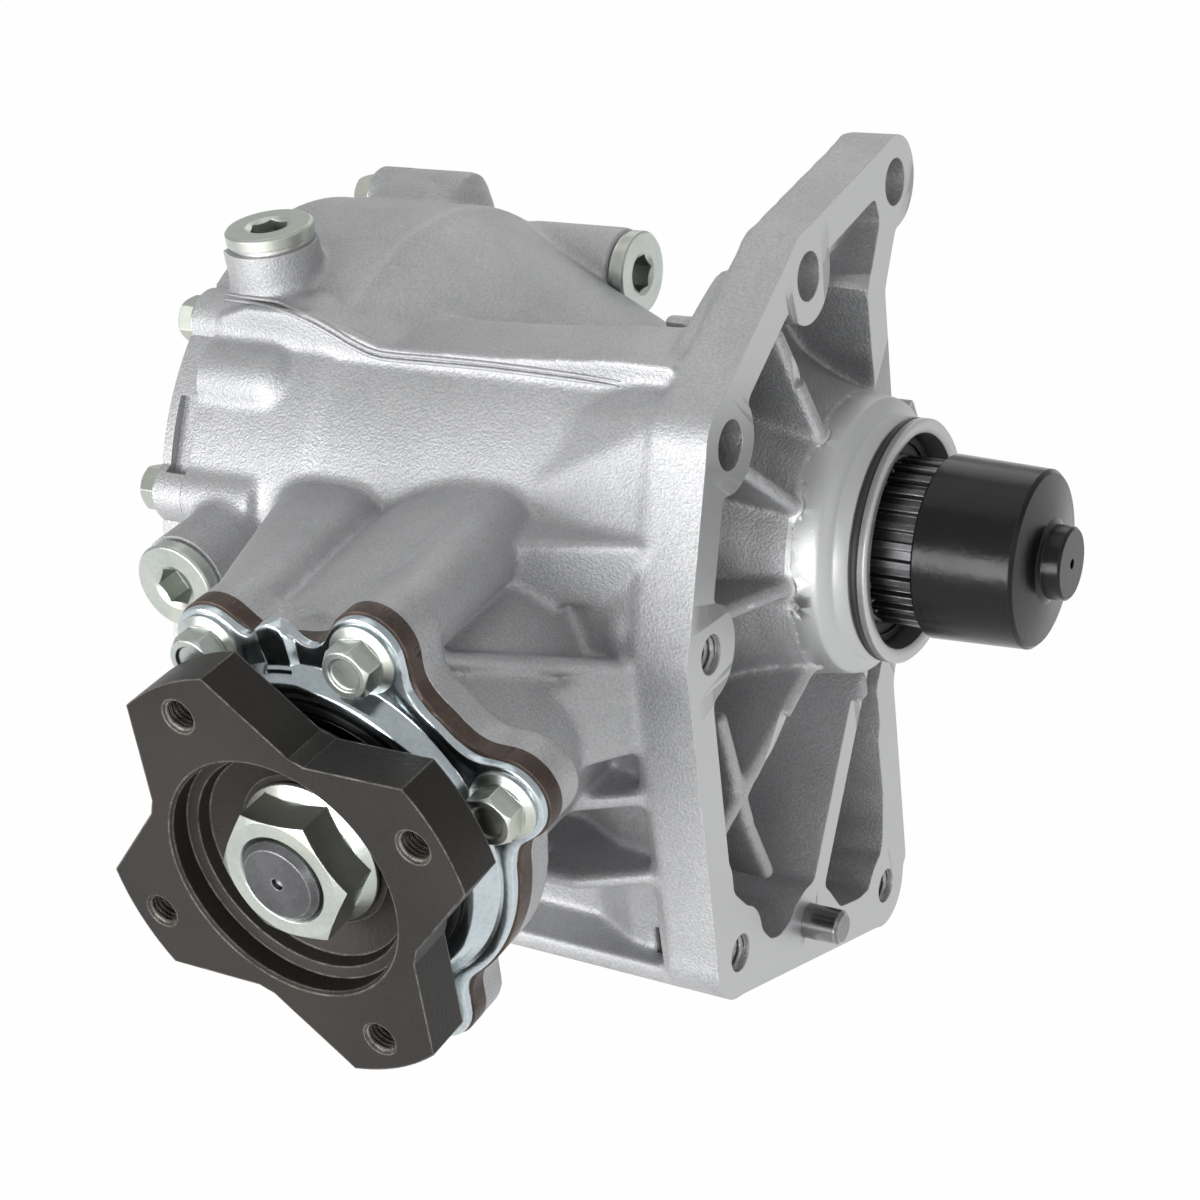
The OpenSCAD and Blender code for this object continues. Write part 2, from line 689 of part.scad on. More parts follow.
module dowel_pin() {
  color("#c9cac8") translate([0, dowel_at[0], dowel_at[1]]) {
    on_input(-14) cylinder(r = dowel_root_r - seat_gap, h = 15);
    on_input(0) cylinder(r = dowel_r - seat_gap, h = dowel_out - 1);
    on_input(dowel_out - 1) cylinder(r1 = dowel_r - seat_gap, r2 = dowel_r - 1, h = 1);
  }
}

// Flanged hex-socket plug, head towards +z, seat of the washer at z = 0
module socket_plug(len) {
  difference() {
    union() {
      translate([0, 0, washer_t]) cylinder(r = plug_flange_r, h = 3);
      translate([0, 0, washer_t + 3]) cylinder(r1 = plug_flange_r, r2 = plug_flange_r - 0.6, h = 0.6);
      translate([0, 0, -len]) cylinder(r = plug_thread_r, h = len + washer_t + 1);
    }
    translate([0, 0, washer_t + 3.6 - 8]) cylinder(r = plug_socket / sqrt(3), h = 10, $fn = 6);
    translate([0, 0, washer_t + 3.6 - 0.9])
        cylinder(r1 = plug_socket / 2, r2 = plug_socket / sqrt(3) + 1, h = 1);
  }
}

module plug_washer() {
  difference() {
    cylinder(r = plug_flange_r - 0.8, h = washer_t);
    translate([0, 0, -1]) cylinder(r = plug_thread_r + 0.15, h = 4);
  }
}

module at_fill() { translate([fill_at[0], fill_at[1], fill_seat]) children(); }
module at_level() { translate([level_at[0], -level_seat, level_at[1]]) rotate([90, 0, 0]) children(); }
module at_side() { translate([0, side_at[0], side_at[1]]) on_input(-side_seat) children(); }

module fill_plug() { color("#c6c9c4") at_fill() socket_plug(12); }
module level_plug() { color("#c6c9c4") at_level() socket_plug(12); }
module side_plug() { color("#c6c9c4") at_side() socket_plug(6); }

module plug_washers() {
  color("#d2d3d0") {
    at_fill() plug_washer();
    at_level() plug_washer();
    at_side() plug_washer();
  }
}

module pilot_o_ring() {
  color("#141414") on_input(pilot_end - 2.4 - ring_d / 2 - 0.15) rotate_extrude()
    translate([pilot_r - ring_d / 2 - 0.02, 0]) circle(ring_d / 2, $fn = 24);
}

// Tapered roller bearing about z, wide end of the rollers at +z, from z = 0 to w
// part 0 is the cup, 1 the cone, 2 the rollers
module taper_bearing(ri, ro, w, part) {
  rr = (ro - ri) * 0.2;
  rl = w * 0.62;
  mid = ri + (ro - ri) * 0.52;
  cz = w * 0.5;
  s = sin(race_angle);
  c = cos(race_angle);
  a = [mid - s * rl / 2, cz - c * rl / 2];
  b = [mid + s * rl / 2, cz + c * rl / 2];
  n = [c, -s];
  d = [s, c];
  small = rr * 0.93;
  big = rr * 1.07;
  g = run_gap / 2;
  grow = (big - small) / rl;
  if (part == 0) {
    lo = a + n * (small + g);
    hi = b + n * (big + g);
    u = (hi - lo) / norm(hi - lo);
    start = lo - u * (lo[1] - w * 0.16) / u[1];
    end = lo + u * (w - lo[1]) / u[1];
    rotate_extrude() polygon([[ro, w * 0.16], [ro, w], end, start]);
  }
  if (part == 1) {
    lo = a - n * (small + g) - d * 0.3;
    hi = b - n * (big + g) + d * 0.3;
    rib = hi + n * rr * 0.75;
    rotate_extrude() polygon([[ri, 0], [lo[0] + 0.8, 0], [lo[0] + 0.8 + s, lo[1] - 0.2], lo, hi, rib,
      [rib[0], w * 0.93], [ri, w * 0.93]]);
  }
  if (part == 2) {
    count = floor(360 / (2.25 * asin(big / mid)));
    for (i = [0:count - 1]) rotate(i * 360 / count) translate([a[0], 0, a[1]])
      rotate([0, race_angle, 0]) cylinder(r1 = small, r2 = big, h = rl, $fn = 32);
  }
}

// Front bearing: wide end inwards, towards -X
module at_front_bearing() { on_input(-front_seat) rotate([0, 180, 0]) children(); }
// Rear bearing: wide end inwards, towards +X
module at_rear_bearing() { on_input(-rear_seat + shim_t) children(); }
// Head bearing: wide end towards the pinion
module at_head_bearing() { on_output(head_seat + pinion_bearing_w) rotate([0, 180, 0]) children(); }
// Tail bearing: wide end outwards
module at_tail_bearing() { on_output(tail_seat) children(); }

module front_bearing_cup() {
  color("#aeb1b3") at_front_bearing() taper_bearing(front_bore_r, front_cup_r - seat_gap, bearing_w, 0);
}
module front_bearing_cone() {
  color("#a9acae") at_front_bearing() taper_bearing(front_bore_r + seat_gap, front_cup_r, bearing_w, 1);
}
module front_bearing_rollers() {
  color("#c4c6c8") at_front_bearing() taper_bearing(front_bore_r, front_cup_r, bearing_w, 2);
}
module rear_bearing_cup() {
  color("#aeb1b3") at_rear_bearing() taper_bearing(rear_bore_r, rear_cup_r - seat_gap, bearing_w, 0);
}
module rear_bearing_cone() {
  color("#a9acae") at_rear_bearing() taper_bearing(rear_bore_r + seat_gap, rear_cup_r, bearing_w, 1);
}
module rear_bearing_rollers() {
  color("#c4c6c8") at_rear_bearing() taper_bearing(rear_bore_r, rear_cup_r, bearing_w, 2);
}

module bearing_shim() {
  color("#9fa2a4") on_input(-rear_seat) difference() {
    cylinder(r = rear_cup_r - 0.2, h = shim_t + bearing_w * 0.16);
    translate([0, 0, -1]) cylinder(r = rear_cup_r - 4.5, h = 9);
  }
}

// Lip seal about z from z = 0 to h
module lip_seal(ro, ri, h) {
  rotate_extrude() polygon([[ro, 0], [ro, h - 0.8], [ro - 0.8, h], [ro - 3, h], [ro - 3, h - 1],
    [ri + 2.5, h - 1.4], [ri, h - 2.2], [ri, h - 3], [ri + 1.6, 2], [ri + 2.4, 0.5], [ro - 1, 0]]);
}

module input_seal() {
  color("#1b1b1b") on_input(seal_at) lip_seal(hub_bore_r - seat_gap, seal_land_r + run_gap, 7.5);
}

module axle_seal() {
  color("#1b1b1b") on_input(-neck_end + 8.8) rotate([0, 180, 0]) lip_seal(29 - seat_gap, 21 + run_gap, 7.5);
}

// Spline outline, teeth pointing outwards
module spline_outline(n, tip, h) {
  step = 360 / n;
  polygon([for (i = [0:n - 1]) each [
    (tip - h) * [cos((i - 0.26) * step), sin((i - 0.26) * step)],
    tip * [cos((i - 0.17) * step), sin((i - 0.17) * step)],
    tip * [cos((i + 0.17) * step), sin((i + 0.17) * step)],
    (tip - h) * [cos((i + 0.26) * step), sin((i + 0.26) * step)]]]);
}

module input_shaft() {
  shaft_end = neck_end + 2;
  color("#a5a8aa") difference() {
    union() {
      turned_input([[0, -shaft_end], [20.4, -shaft_end], [21, -shaft_end + 0.8], [21, -rear_seat - 0.5],
        [rear_bore_r, -rear_seat - 0.5], [rear_bore_r, -rear_seat + shim_t + bearing_w * 0.93],
        [shaft_r, -rear_seat + shim_t + bearing_w * 0.93],
        [shaft_r, -ring_back - hub_flange_t - 4], [shaft_r + 4, -ring_back - hub_flange_t],
        [ring_out_r - 3, -ring_back - hub_flange_t], [ring_out_r - 3, -ring_back],
        [ring_bore_r - seat_gap, -ring_back], [ring_bore_r - seat_gap, -ring_back + 8],
        [shaft_r + 2, -ring_back + 10], [shaft_r, -ring_back + 14],
        [shaft_r, -front_seat - bearing_w * 0.93], [front_bore_r, -front_seat - bearing_w * 0.93],
        [front_bore_r, -front_seat + 0.3], [seal_land_r, -front_seat + 0.3],
            [seal_land_r, spline_start - 1],
        [spline_tip_r - spline_h, spline_start + 0.5], [spline_tip_r - spline_h, spline_end - 0.2],
            [0, spline_end - 0.2]]);
      on_input(spline_start) linear_extrude(spline_end - spline_start) spline_outline(spline_teeth,
          spline_tip_r, spline_h);
    }
    turned_input([[0, -shaft_end - 1], [shaft_bore_r + 1, -shaft_end - 1], [shaft_bore_r, -shaft_end + 1],
      [shaft_bore_r, spline_end - 1], [shaft_bore_r + 1, spline_end + 1], [0, spline_end + 1]]);
    on_input(-ring_back - hub_flange_t - 1) for (i = [0:ring_bolts - 1]) rotate(i * 360 / ring_bolts)
      translate([ring_bolt_circle, 0]) cylinder(r = small_r + 0.3, h = hub_flange_t + 2);
  }
}

// One ring gear tooth: a frustum pointing at the pinion apex
module ring_tooth() {
  t = 1.0 - free_play;
  half = 90 / ring_teeth * PI / 180 * 2;
  hp = half * t / 2;
  ta = tan(tooth_angle);
  m = 2 / ring_teeth;
  a = 0.85 * m;
  f = 1.6 * m;
  tipw = hp - a * ta;
  rootw = hp + f * ta;
  points = [for (d = [toe, heel]) each [
    [apex_x + (-ratio_k - f) * d, -d, -out_drop - rootw * d],
    [apex_x + (-ratio_k - f) * d, -d, -out_drop + rootw * d],
    [apex_x + (-ratio_k + a) * d, -d, -out_drop + tipw * d],
    [apex_x + (-ratio_k + a) * d, -d, -out_drop - tipw * d]]];
  polyhedron(points, [[3, 2, 1, 0], [4, 5, 6, 7], [1, 5, 4, 0], [2, 6, 5, 1], [3, 7, 6, 2], [0, 4, 7, 3]]);
}

module ring_gear() {
  m = 2 / ring_teeth;
  toe_r = sqrt(toe * toe + out_drop * out_drop);
  root = ratio_k + 1.15 * m;
  color("#8f9295") {
    difference() {
      turned_input([[ring_bore_r, -ring_back], [ring_out_r - 1, -ring_back], [ring_out_r, -ring_back + 1],
        [ring_out_r, apex_x - root * heel - 0.6], [ring_out_r - 1, apex_x - root * heel],
        [toe_r, apex_x - root * toe], [toe_r - 1.5, apex_x - root * toe - 0.6],
        [ring_bore_r, -ring_back + 6]]);
      on_input(-ring_back - 1) for (i = [0:ring_bolts - 1]) rotate(i * 360 / ring_bolts)
        translate([ring_bolt_circle, 0]) cylinder(r = small_r + thread_gap, h = 11);
    }
    for (i = [0:ring_teeth - 1]) rotate([i * 360 / ring_teeth, 0, 0]) ring_tooth();
  }
}

module ring_gear_bolts() {
  color("#5d5f61") on_input(-ring_back - hub_flange_t) for (i = [0:ring_bolts - 1])
    rotate(i * 360 / ring_bolts) translate([ring_bolt_circle, 0]) flange_bolt(hub_flange_t + 9);
}

function inv(a) = tan(a) * 180 / PI - a;

// Pinion outline for pitch radius rp, with a tooth space on the -x side
function pinion_points(rp) =
  let (n = pinion_teeth, m = 2 * rp / n, rb = rp * cos(tooth_angle), ra = rp + 0.8 * m, rr = rp - 1.15 * m,
    half = 90 / n * (1 - free_play), base = half + inv(tooth_angle), r0 = max(rb, rr),
    up = [for (i = [0:3]) let (r = r0 + (ra - r0) * i / 3) [r, base - inv(acos(min(1, rb / r)))]])
  [for (k = [0:n - 1]) let (c = 180 + mesh_turn + (k + 0.5) * 360 / n)
    for (p = concat([[rr, -base]], [for (q = up) [q[0], -q[1]]], [for (i = [3:-1:0]) up[i]], [[rr, base]]))
      [p[0] * cos(c + p[1]), p[0] * sin(c + p[1])]];

module pinion_shaft() {
  rp = ratio_k * toe;
  color("#96999b") {
    on_output(toe) linear_extrude(heel - toe, scale = heel / toe) polygon(pinion_points(rp));
    turned_output([[0, toe + 0.5], [rp * 0.7, toe + 0.5], [ratio_k * heel * 0.8, heel - 0.5],
      [ratio_k * heel * 0.8, heel + 0.3], [ratio_k * heel * 0.86, heel + 0.9],
          [ratio_k * heel * 0.86, heel + 1.5], [21, pinion_back], [20, head_seat],
      [head_bore_r, head_seat], [head_bore_r, head_seat + pinion_bearing_w + 1],
      [tail_bore_r + 0.3, head_seat + pinion_bearing_w + 1.3], [tail_bore_r + 0.3, tail_seat - 1],
      [tail_bore_r, tail_seat - 0.7], [tail_bore_r, tail_end - 0.6], [12.8, tail_end - 0.2],
      [12.8, nut_seat - 3], [pinion_thread_r, nut_seat - 2],
      [pinion_thread_r, pinion_end - 1.5], [pinion_thread_r - 1.5, pinion_end], [1.6, pinion_end],
      [1.6, pinion_end - 1.5], [0, pinion_end - 2.5]]);
  }
}

module head_bearing_cup() {
  color("#aeb1b3") at_head_bearing() taper_bearing(head_bore_r, head_cup_r - seat_gap, pinion_bearing_w, 0);
}
module head_bearing_cone() {
  color("#a9acae") at_head_bearing() taper_bearing(head_bore_r + seat_gap, head_cup_r, pinion_bearing_w, 1);
}
module head_bearing_rollers() {
  color("#c4c6c8") at_head_bearing() taper_bearing(head_bore_r, head_cup_r, pinion_bearing_w, 2);
}
module tail_bearing_cup() {
  color("#aeb1b3") at_tail_bearing() taper_bearing(tail_bore_r, tail_cup_r - seat_gap, pinion_bearing_w, 0);
}
module tail_bearing_cone() {
  color("#a9acae") at_tail_bearing() taper_bearing(tail_bore_r + seat_gap, tail_cup_r, pinion_bearing_w, 1);
}
module tail_bearing_rollers() {
  color("#c4c6c8") at_tail_bearing() taper_bearing(tail_bore_r, tail_cup_r, pinion_bearing_w, 2);
}

module collapsible_spacer() {
  lo = head_seat + pinion_bearing_w + 0.05;
  hi = tail_seat - 0.05;
  mid = (lo + hi) / 2;
  ri = head_bore_r + 0.3;
  color("#8b8e90") turned_output([[ri, lo], [ri + 2.5, lo], [ri + 2.5, mid - 6], [ri + 5, mid],
    [ri + 2.5, mid + 6], [ri + 2.5, hi], [ri, hi], [ri, mid + 6], [ri + 2.5, mid], [ri, mid - 6]]);
}

module pinion_carrier() {
  w = pinion_bearing_w;
  color("#4a3a30") difference() {
    union() {
      on_output(pinion_back + 1) cylinder(r = carrier_r - seat_gap, h = carrier_seat - pinion_back);
      on_output(carrier_seat) linear_extrude(carrier_t) retain_outline();
      // Raised ring under the retainer plate
      turned_output([[20, plate_seat - eps], [42, plate_seat - eps], [40.5, plate_seat + 4],
          [20, plate_seat + 4]]);
    }
    turned_output([[0, 0], [head_cup_r, 0], [head_cup_r, head_seat + w * 0.84], [24, head_seat + w * 0.84],
      [24, tail_seat + w * 0.16], [tail_cup_r, tail_seat + w * 0.16], [tail_cup_r, tail_end + 1.5],
      [seal_r, tail_end + 1.5], [seal_r, plate_seat + 3], [seal_r + 1, plate_seat + 5],
          [0, plate_seat + 5]]);
    // O-ring groove
    turned_output([[carrier_r - 2.2, 104], [carrier_r + 1, 104], [carrier_r + 1, 107],
        [carrier_r - 2.2, 107]]);
    on_output(carrier_seat - 1) for (a = retain_angles) rotate(a) translate([retain_circle, 0])
      cylinder(r = small_r + 0.4, h = carrier_t + 2);
  }
}

module carrier_o_ring() {
  color("#161616") on_output(105.5) rotate_extrude() translate([carrier_r - 1.1, 0]) circle(1.05, $fn = 24);
}

module retainer_plate() {
  color("#bfc5c6") difference() {
    union() {
      on_output(plate_seat) linear_extrude(plate_t) difference() {
        retain_outline(-0.6);
        circle(44.8);
      }
      turned_output([[46, plate_seat], [46, plate_seat + plate_t], [44.4, plate_seat + plate_t],
        [42.6, plate_lip], [38.5, plate_lip], [38.5, plate_lip - 2], [41.2, plate_lip - 2],
            [42.8, plate_seat]]);
      // Pressed pad between the two upper lobes
      on_output(plate_seat) linear_extrude(plate_t + 1.5) intersection() {
        difference() { circle(57); circle(44.8); }
        polygon([[0, 0], [-4, 60], [-14, 60]]);
      }
    }
    on_output(plate_seat - 1) for (a = retain_angles) rotate(a) translate([retain_circle, 0])
      cylinder(r = small_r + 0.4, h = 12);
  }
}

module retainer_bolts() {
  color("#c3c8c4") on_output(plate_seat + plate_t) for (a = retain_angles) rotate(a)
    translate([retain_circle, 0]) rotate([0, 180, 0]) flange_bolt(plate_t + carrier_t + 12);
}

module output_seal() {
  color("#1b1b1b") on_output(tail_end + 1.6) lip_seal(seal_r - seat_gap, hub_boss_r + run_gap, 9);
}

module dust_seal() {
  color("#121212") turned_output([[38.4, plate_seat + 4.2], [38.4, plate_lip], [36.6, plate_lip + 0.4],
    [35.4, plate_lip - 0.8], [36.8, plate_seat + 4.2]]);
}

module dust_deflector() {
  d = plate_seat + 4.6;
  color("#b9bfc0") turned_output([[hub_boss_r + seat_gap, d], [31, d], [33.5, d + 1.4],
      [34.8, d + 1.4], [34.8, d + 2.6],
    [33, d + 2.6], [30.5, d + 1.2], [hub_boss_r + seat_gap, d + 1.2]]);
}

// Lobed outline of the companion flange
module flange_outline() {
  circle(web_r);
  intersection() {
    circle(lobe_r);
    for (i = [0:3]) rotate(flange_turn + 90 * i) polygon([
      [12, lobe_half + (bolt_circle_r - 12) * lobe_taper],
          [70, lobe_half + (bolt_circle_r - 70) * lobe_taper],
      [70, -lobe_half - (bolt_circle_r - 70) * lobe_taper],
          [12, -lobe_half - (bolt_circle_r - 12) * lobe_taper]]);
  }
}

// Tapped hole about z, countersunk at its mouth
module tapped_hole(r, h) {
  translate([0, 0, -1]) cylinder(r = r, h = h + 2);
  translate([0, 0, -0.01]) cylinder(r1 = r + 0.4, r2 = r, h = 0.4);
}

module companion_flange() {
  back = out_reach - lobe_t;
  color("#35312f") difference() {
    union() {
      on_output(back) linear_extrude(lobe_t) flange_outline();
      turned_output([[0, hub_start], [hub_boss_r, hub_start], [hub_boss_r, plate_seat + 5.9],
        [hub_boss_r + 4, plate_seat + 5.9 + 1], [30, back - 4], [web_r - 1, back - 1.5],
            [web_r - 0.3, back + eps], [0, back + eps]]);
    }
    // Recess, step and dished floor
    turned_output([[0, nut_seat], [21, nut_seat], [24, nut_seat + 1.2], [28.6, nut_seat + 3.2],
      [29.6, nut_seat + 6.5], [recess_r, nut_seat + 7.5], [recess_r, out_reach - 0.8],
      [recess_r + 0.8, out_reach], [recess_r + 1, out_reach + 1], [0, out_reach + 1]]);
    on_output(0) cylinder(r = 12.8 + seat_gap, h = out_reach);
    for (i = [0:3]) on_output(out_reach) rotate(flange_turn + 90 * i) translate([bolt_circle_r, 0])
      rotate([0, 180, 0]) tapped_hole(flange_tap_r, lobe_t + 2);
  }
}

module flange_nut() {
  top = out_reach - 0.2;
  color("#c1c6bf") difference() {
    union() {
      turned_output([[0, nut_seat], [18.6, nut_seat], [19.4, nut_seat + 0.8], [19.4, nut_seat + 1.8],
        [16.5, nut_seat + 3.4], [0, nut_seat + 3.4]]);
      intersection() {
        on_output(nut_seat + 2) cylinder(r = 16 / cos(30), h = top - nut_seat - 2, $fn = 6);
        turned_output([[0, nut_seat], [20, nut_seat], [20, top - 1.8], [16, top], [0, top]]);
      }
    }
    on_output(nut_seat - 1) cylinder(r = pinion_thread_r + thread_gap, h = 30);
    turned_output([[0, top - 1.2], [pinion_thread_r, top - 1.2], [pinion_thread_r + 1.3, top + 0.1],
      [0, top + 0.1]]);
    turned_output([[0, nut_seat - 1], [13.1, nut_seat - 1], [13.1, nut_seat + 0.6], [0, nut_seat + 0.6]]);
  }
}

module shipping_cap() {
  color("#1d1d1f") difference() {
    turned_input([[0, cap_mouth], [cap_r - 0.6, cap_mouth], [cap_r, cap_mouth + 0.6],
        [cap_front_r, cap_front - 1],
      [cap_front_r - 1, cap_front], [11.5, cap_front + 1.8], [10, cap_front + 2.6], [9.8, cap_front + 7],
      [9.2, cap_front + 7.6], [0, cap_front + 7.6]]);
    turned_input([[0, cap_mouth - 1], [spline_tip_r + 0.4, cap_mouth - 1],
        [spline_tip_r + 0.4, spline_end + 0.5],
      [spline_tip_r - 2.5, spline_end + 1.5], [spline_tip_r - 2.5, cap_front - 4], [0, cap_front - 4]]);
    on_input(cap_front + 5) cylinder(r = 1.4, h = 4);
  }
}

main_housing();
end_cover();
cover_bolts();
cover_seal();
dowel_pin();
fill_plug();
level_plug();
side_plug();
plug_washers();
pilot_o_ring();
input_shaft();
ring_gear();
ring_gear_bolts();
front_bearing_cup();
front_bearing_cone();
front_bearing_rollers();
rear_bearing_cup();
rear_bearing_cone();
rear_bearing_rollers();
input_seal();
axle_seal();
bearing_shim();
pinion_shaft();
head_bearing_cup();
head_bearing_cone();
head_bearing_rollers();
tail_bearing_cup();
tail_bearing_cone();
tail_bearing_rollers();
collapsible_spacer();
pinion_carrier();
carrier_o_ring();
retainer_plate();
retainer_bolts();
output_seal();
dust_seal();
dust_deflector();
companion_flange();
flange_nut();
shipping_cap();
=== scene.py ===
import math

import bmesh
import bpy
from mathutils import Matrix, Vector


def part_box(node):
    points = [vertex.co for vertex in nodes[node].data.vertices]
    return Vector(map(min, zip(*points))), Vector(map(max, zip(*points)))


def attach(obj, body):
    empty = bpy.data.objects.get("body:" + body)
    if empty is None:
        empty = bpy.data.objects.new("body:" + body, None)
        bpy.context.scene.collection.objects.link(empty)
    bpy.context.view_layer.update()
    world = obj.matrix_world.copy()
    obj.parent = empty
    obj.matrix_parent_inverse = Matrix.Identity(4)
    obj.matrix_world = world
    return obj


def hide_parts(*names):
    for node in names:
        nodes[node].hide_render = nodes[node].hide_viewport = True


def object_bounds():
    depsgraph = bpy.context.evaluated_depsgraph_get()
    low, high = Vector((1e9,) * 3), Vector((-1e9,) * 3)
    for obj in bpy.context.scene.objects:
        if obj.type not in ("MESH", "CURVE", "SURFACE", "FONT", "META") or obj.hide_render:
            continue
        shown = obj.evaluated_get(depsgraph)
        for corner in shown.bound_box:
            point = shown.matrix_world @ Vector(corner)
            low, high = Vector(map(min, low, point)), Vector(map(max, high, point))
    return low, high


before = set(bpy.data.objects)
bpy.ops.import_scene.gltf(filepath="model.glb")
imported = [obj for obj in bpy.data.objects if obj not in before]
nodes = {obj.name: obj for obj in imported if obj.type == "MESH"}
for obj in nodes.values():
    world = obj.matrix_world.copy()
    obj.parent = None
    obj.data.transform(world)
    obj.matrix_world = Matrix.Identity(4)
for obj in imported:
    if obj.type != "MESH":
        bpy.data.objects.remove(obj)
cad_low, cad_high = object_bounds()
scene = bpy.context.scene
scene.view_settings.view_transform = "Standard"

# ---------------------------------------------------------------- Camera
# One long lens stands above the right of the output flange and looks down
# at the case; it was fitted to the screw heads, bolt holes and round faces.
lens_data = bpy.data.cameras.new("case_camera")
lens_data.sensor_width = 36.0
lens_data.lens = 70.02
lens_data.clip_start = 0.01
lens_data.clip_end = 20.0
camera = bpy.data.objects.new("case_camera", lens_data)
scene.collection.objects.link(camera)
look_right = Vector((0.860125, 0.493861, -0.127616))
look_down = Vector((0.145065, -0.476692, -0.867018))
look_ahead = Vector((-0.489020, 0.727232, -0.481657))
turn = Matrix((look_right, -look_down, -look_ahead)).transposed()
stand_point = (0.259083, -0.506263, 0.299778)
camera.matrix_world = Matrix.Translation(stand_point) @ turn.to_4x4()
scene.camera = camera

# ---------------------------------------------------------------- Floor and studio light
# A white table that runs out of the picture on all sides, under a wide lamp on
# the output side, a low one in front, and weak ones overhead, behind and at the bell.


def put(tree, kind, **values):
    """Adds a shader node and sets its sockets by name and its settings by attribute."""
    made = tree.nodes.new(kind)
    for name, value in values.items():
        label = name.replace("_", " ")
        if label in made.inputs:
            made.inputs[label].default_value = value
        else:
            setattr(made, name, value)
    return made


def maths(tree, a, b, operation="MULTIPLY"):
    """Joins two numbers, varying or plain, by one sum."""
    made = put(tree, "ShaderNodeMath", operation=operation)
    for socket, value in zip(made.inputs, (a, b)):
        if isinstance(value, (int, float)):
            socket.default_value = value
        else:
            tree.links.new(value, socket)
    return made.outputs[0]


def white_for_rays(tree, shader, white_kind, shares):
    """Mixes plain white into a shader, with a share for each kind of ray that meets it."""
    path = put(tree, "ShaderNodeLightPath")
    share = 0.0
    for ray, part in shares.items():
        share = maths(tree, share, maths(tree, path.outputs[ray], part), "MAXIMUM")
    white = put(tree, white_kind, Color=(1, 1, 1, 1), Strength=1.0)
    blend = put(tree, "ShaderNodeMixShader")
    tree.links.new(share, blend.inputs[0])
    tree.links.new(shader.outputs[0], blend.inputs[1])
    tree.links.new(white.outputs[0], blend.inputs[2])
    return blend.outputs[0]


table_mesh = bpy.data.meshes.new("white_table")
table_half = 4.0
table_corners = [(x * table_half, y * table_half, 0) for x, y in ((-1, -1), (1, -1), (1, 1), (-1, 1))]
table_mesh.from_pydata(table_corners, [], [(0, 1, 2, 3)])
table = bpy.data.objects.new("white_table", table_mesh)
table_gap = 0.0005
table.location = (0, 0, cad_low[2] - table_gap)
scene.collection.objects.link(table)
table_paint = bpy.data.materials.new("white_table_paint")
table_paint.use_nodes = True
tree = table_paint.node_tree
tree.nodes.clear()
matt = put(tree, "ShaderNodeBsdfDiffuse", Color=(0.86, 0.86, 0.86, 1), Roughness=0.5)
finish = put(tree, "ShaderNodeOutputMaterial")
table_white = dict.fromkeys(("Is Camera Ray", "Is Glossy Ray", "Is Transmission Ray"), 0.985)
seen_table = white_for_rays(tree, matt, "ShaderNodeEmission", table_white)
tree.links.new(seen_table, finish.inputs["Surface"])
table_mesh.materials.append(table_paint)

studio = bpy.data.worlds.new("white_studio")
scene.world = studio
studio.use_nodes = True
tree = studio.node_tree
tree.nodes.clear()
soft = put(tree, "ShaderNodeBackground", Color=(1.0, 1.0, 1.0, 1), Strength=0.34)
sky = put(tree, "ShaderNodeOutputWorld")
sky_white = {"Is Camera Ray": 1.0, "Is Transmission Ray": 1.0, "Is Glossy Ray": 0.35}
seen_sky = white_for_rays(tree, soft, "ShaderNodeBackground", sky_white)
tree.links.new(seen_sky, sky.inputs["Surface"])

lamp_target = Vector((-0.06, -0.05, -0.02))
for name, place, wide, high, watts in (
    ("overhead_softbox", (-0.4, 0.2, 1.5), 1.0, 1.0, 1.8),
    ("output_side_softbox", (-0.6, -1.7, 0.3), 1.4, 0.7, 24.5),
    ("low_front_softbox", (0.3, -1.5, -0.01), 1.2, 0.24, 8.0),
    ("bell_side_softbox", (1.5, -0.5, 0.5), 0.9, 0.9, 1.0),
    ("rear_softbox", (-0.5, 1.5, 1.0), 1.0, 1.0, 3.2),
):
    lamp_data = bpy.data.lights.new(name, "AREA")
    lamp_data.shape = "RECTANGLE"
    lamp_data.size, lamp_data.size_y = wide, high
    lamp_data.energy = watts
    lamp = bpy.data.objects.new(name, lamp_data)
    lamp.location = place
    lamp.rotation_euler = (lamp_target - Vector(place)).to_track_quat("-Z", "Y").to_euler()
    lamp.visible_camera = False
    scene.collection.objects.link(lamp)

# ---------------------------------------------------------------- Case and end cover
# Both are aluminium castings, shot blasted to a fine even grain, then milled
# on the joint faces and turned on the pilot hub. The cover is screwed on behind.


def group(name, inputs, outputs):
    """A shader node group with plain number inputs and outputs, and its two end nodes."""
    made = bpy.data.node_groups.new(name, "ShaderNodeTree")
    for label, value in inputs:
        socket = made.interface.new_socket(name=label, in_out="INPUT", socket_type="NodeSocketFloat")
        socket.default_value = value
    for label in outputs:
        made.interface.new_socket(name=label, in_out="OUTPUT", socket_type="NodeSocketFloat")
    return made, made.nodes.new("NodeGroupInput"), made.nodes.new("NodeGroupOutput")


def spread(tree, source, low, high, to_low=0.0, to_high=1.0):
    """Maps a varying number from one range to another and clamps it."""
    made = put(tree, "ShaderNodeMapRange", clamp=True)
    for socket, value in zip(("From Min", "From Max", "To Min", "To Max"), (low, high, to_low, to_high)):
        made.inputs[socket].default_value = value
    tree.links.new(source, made.inputs["Value"])
    return made.outputs["Result"]


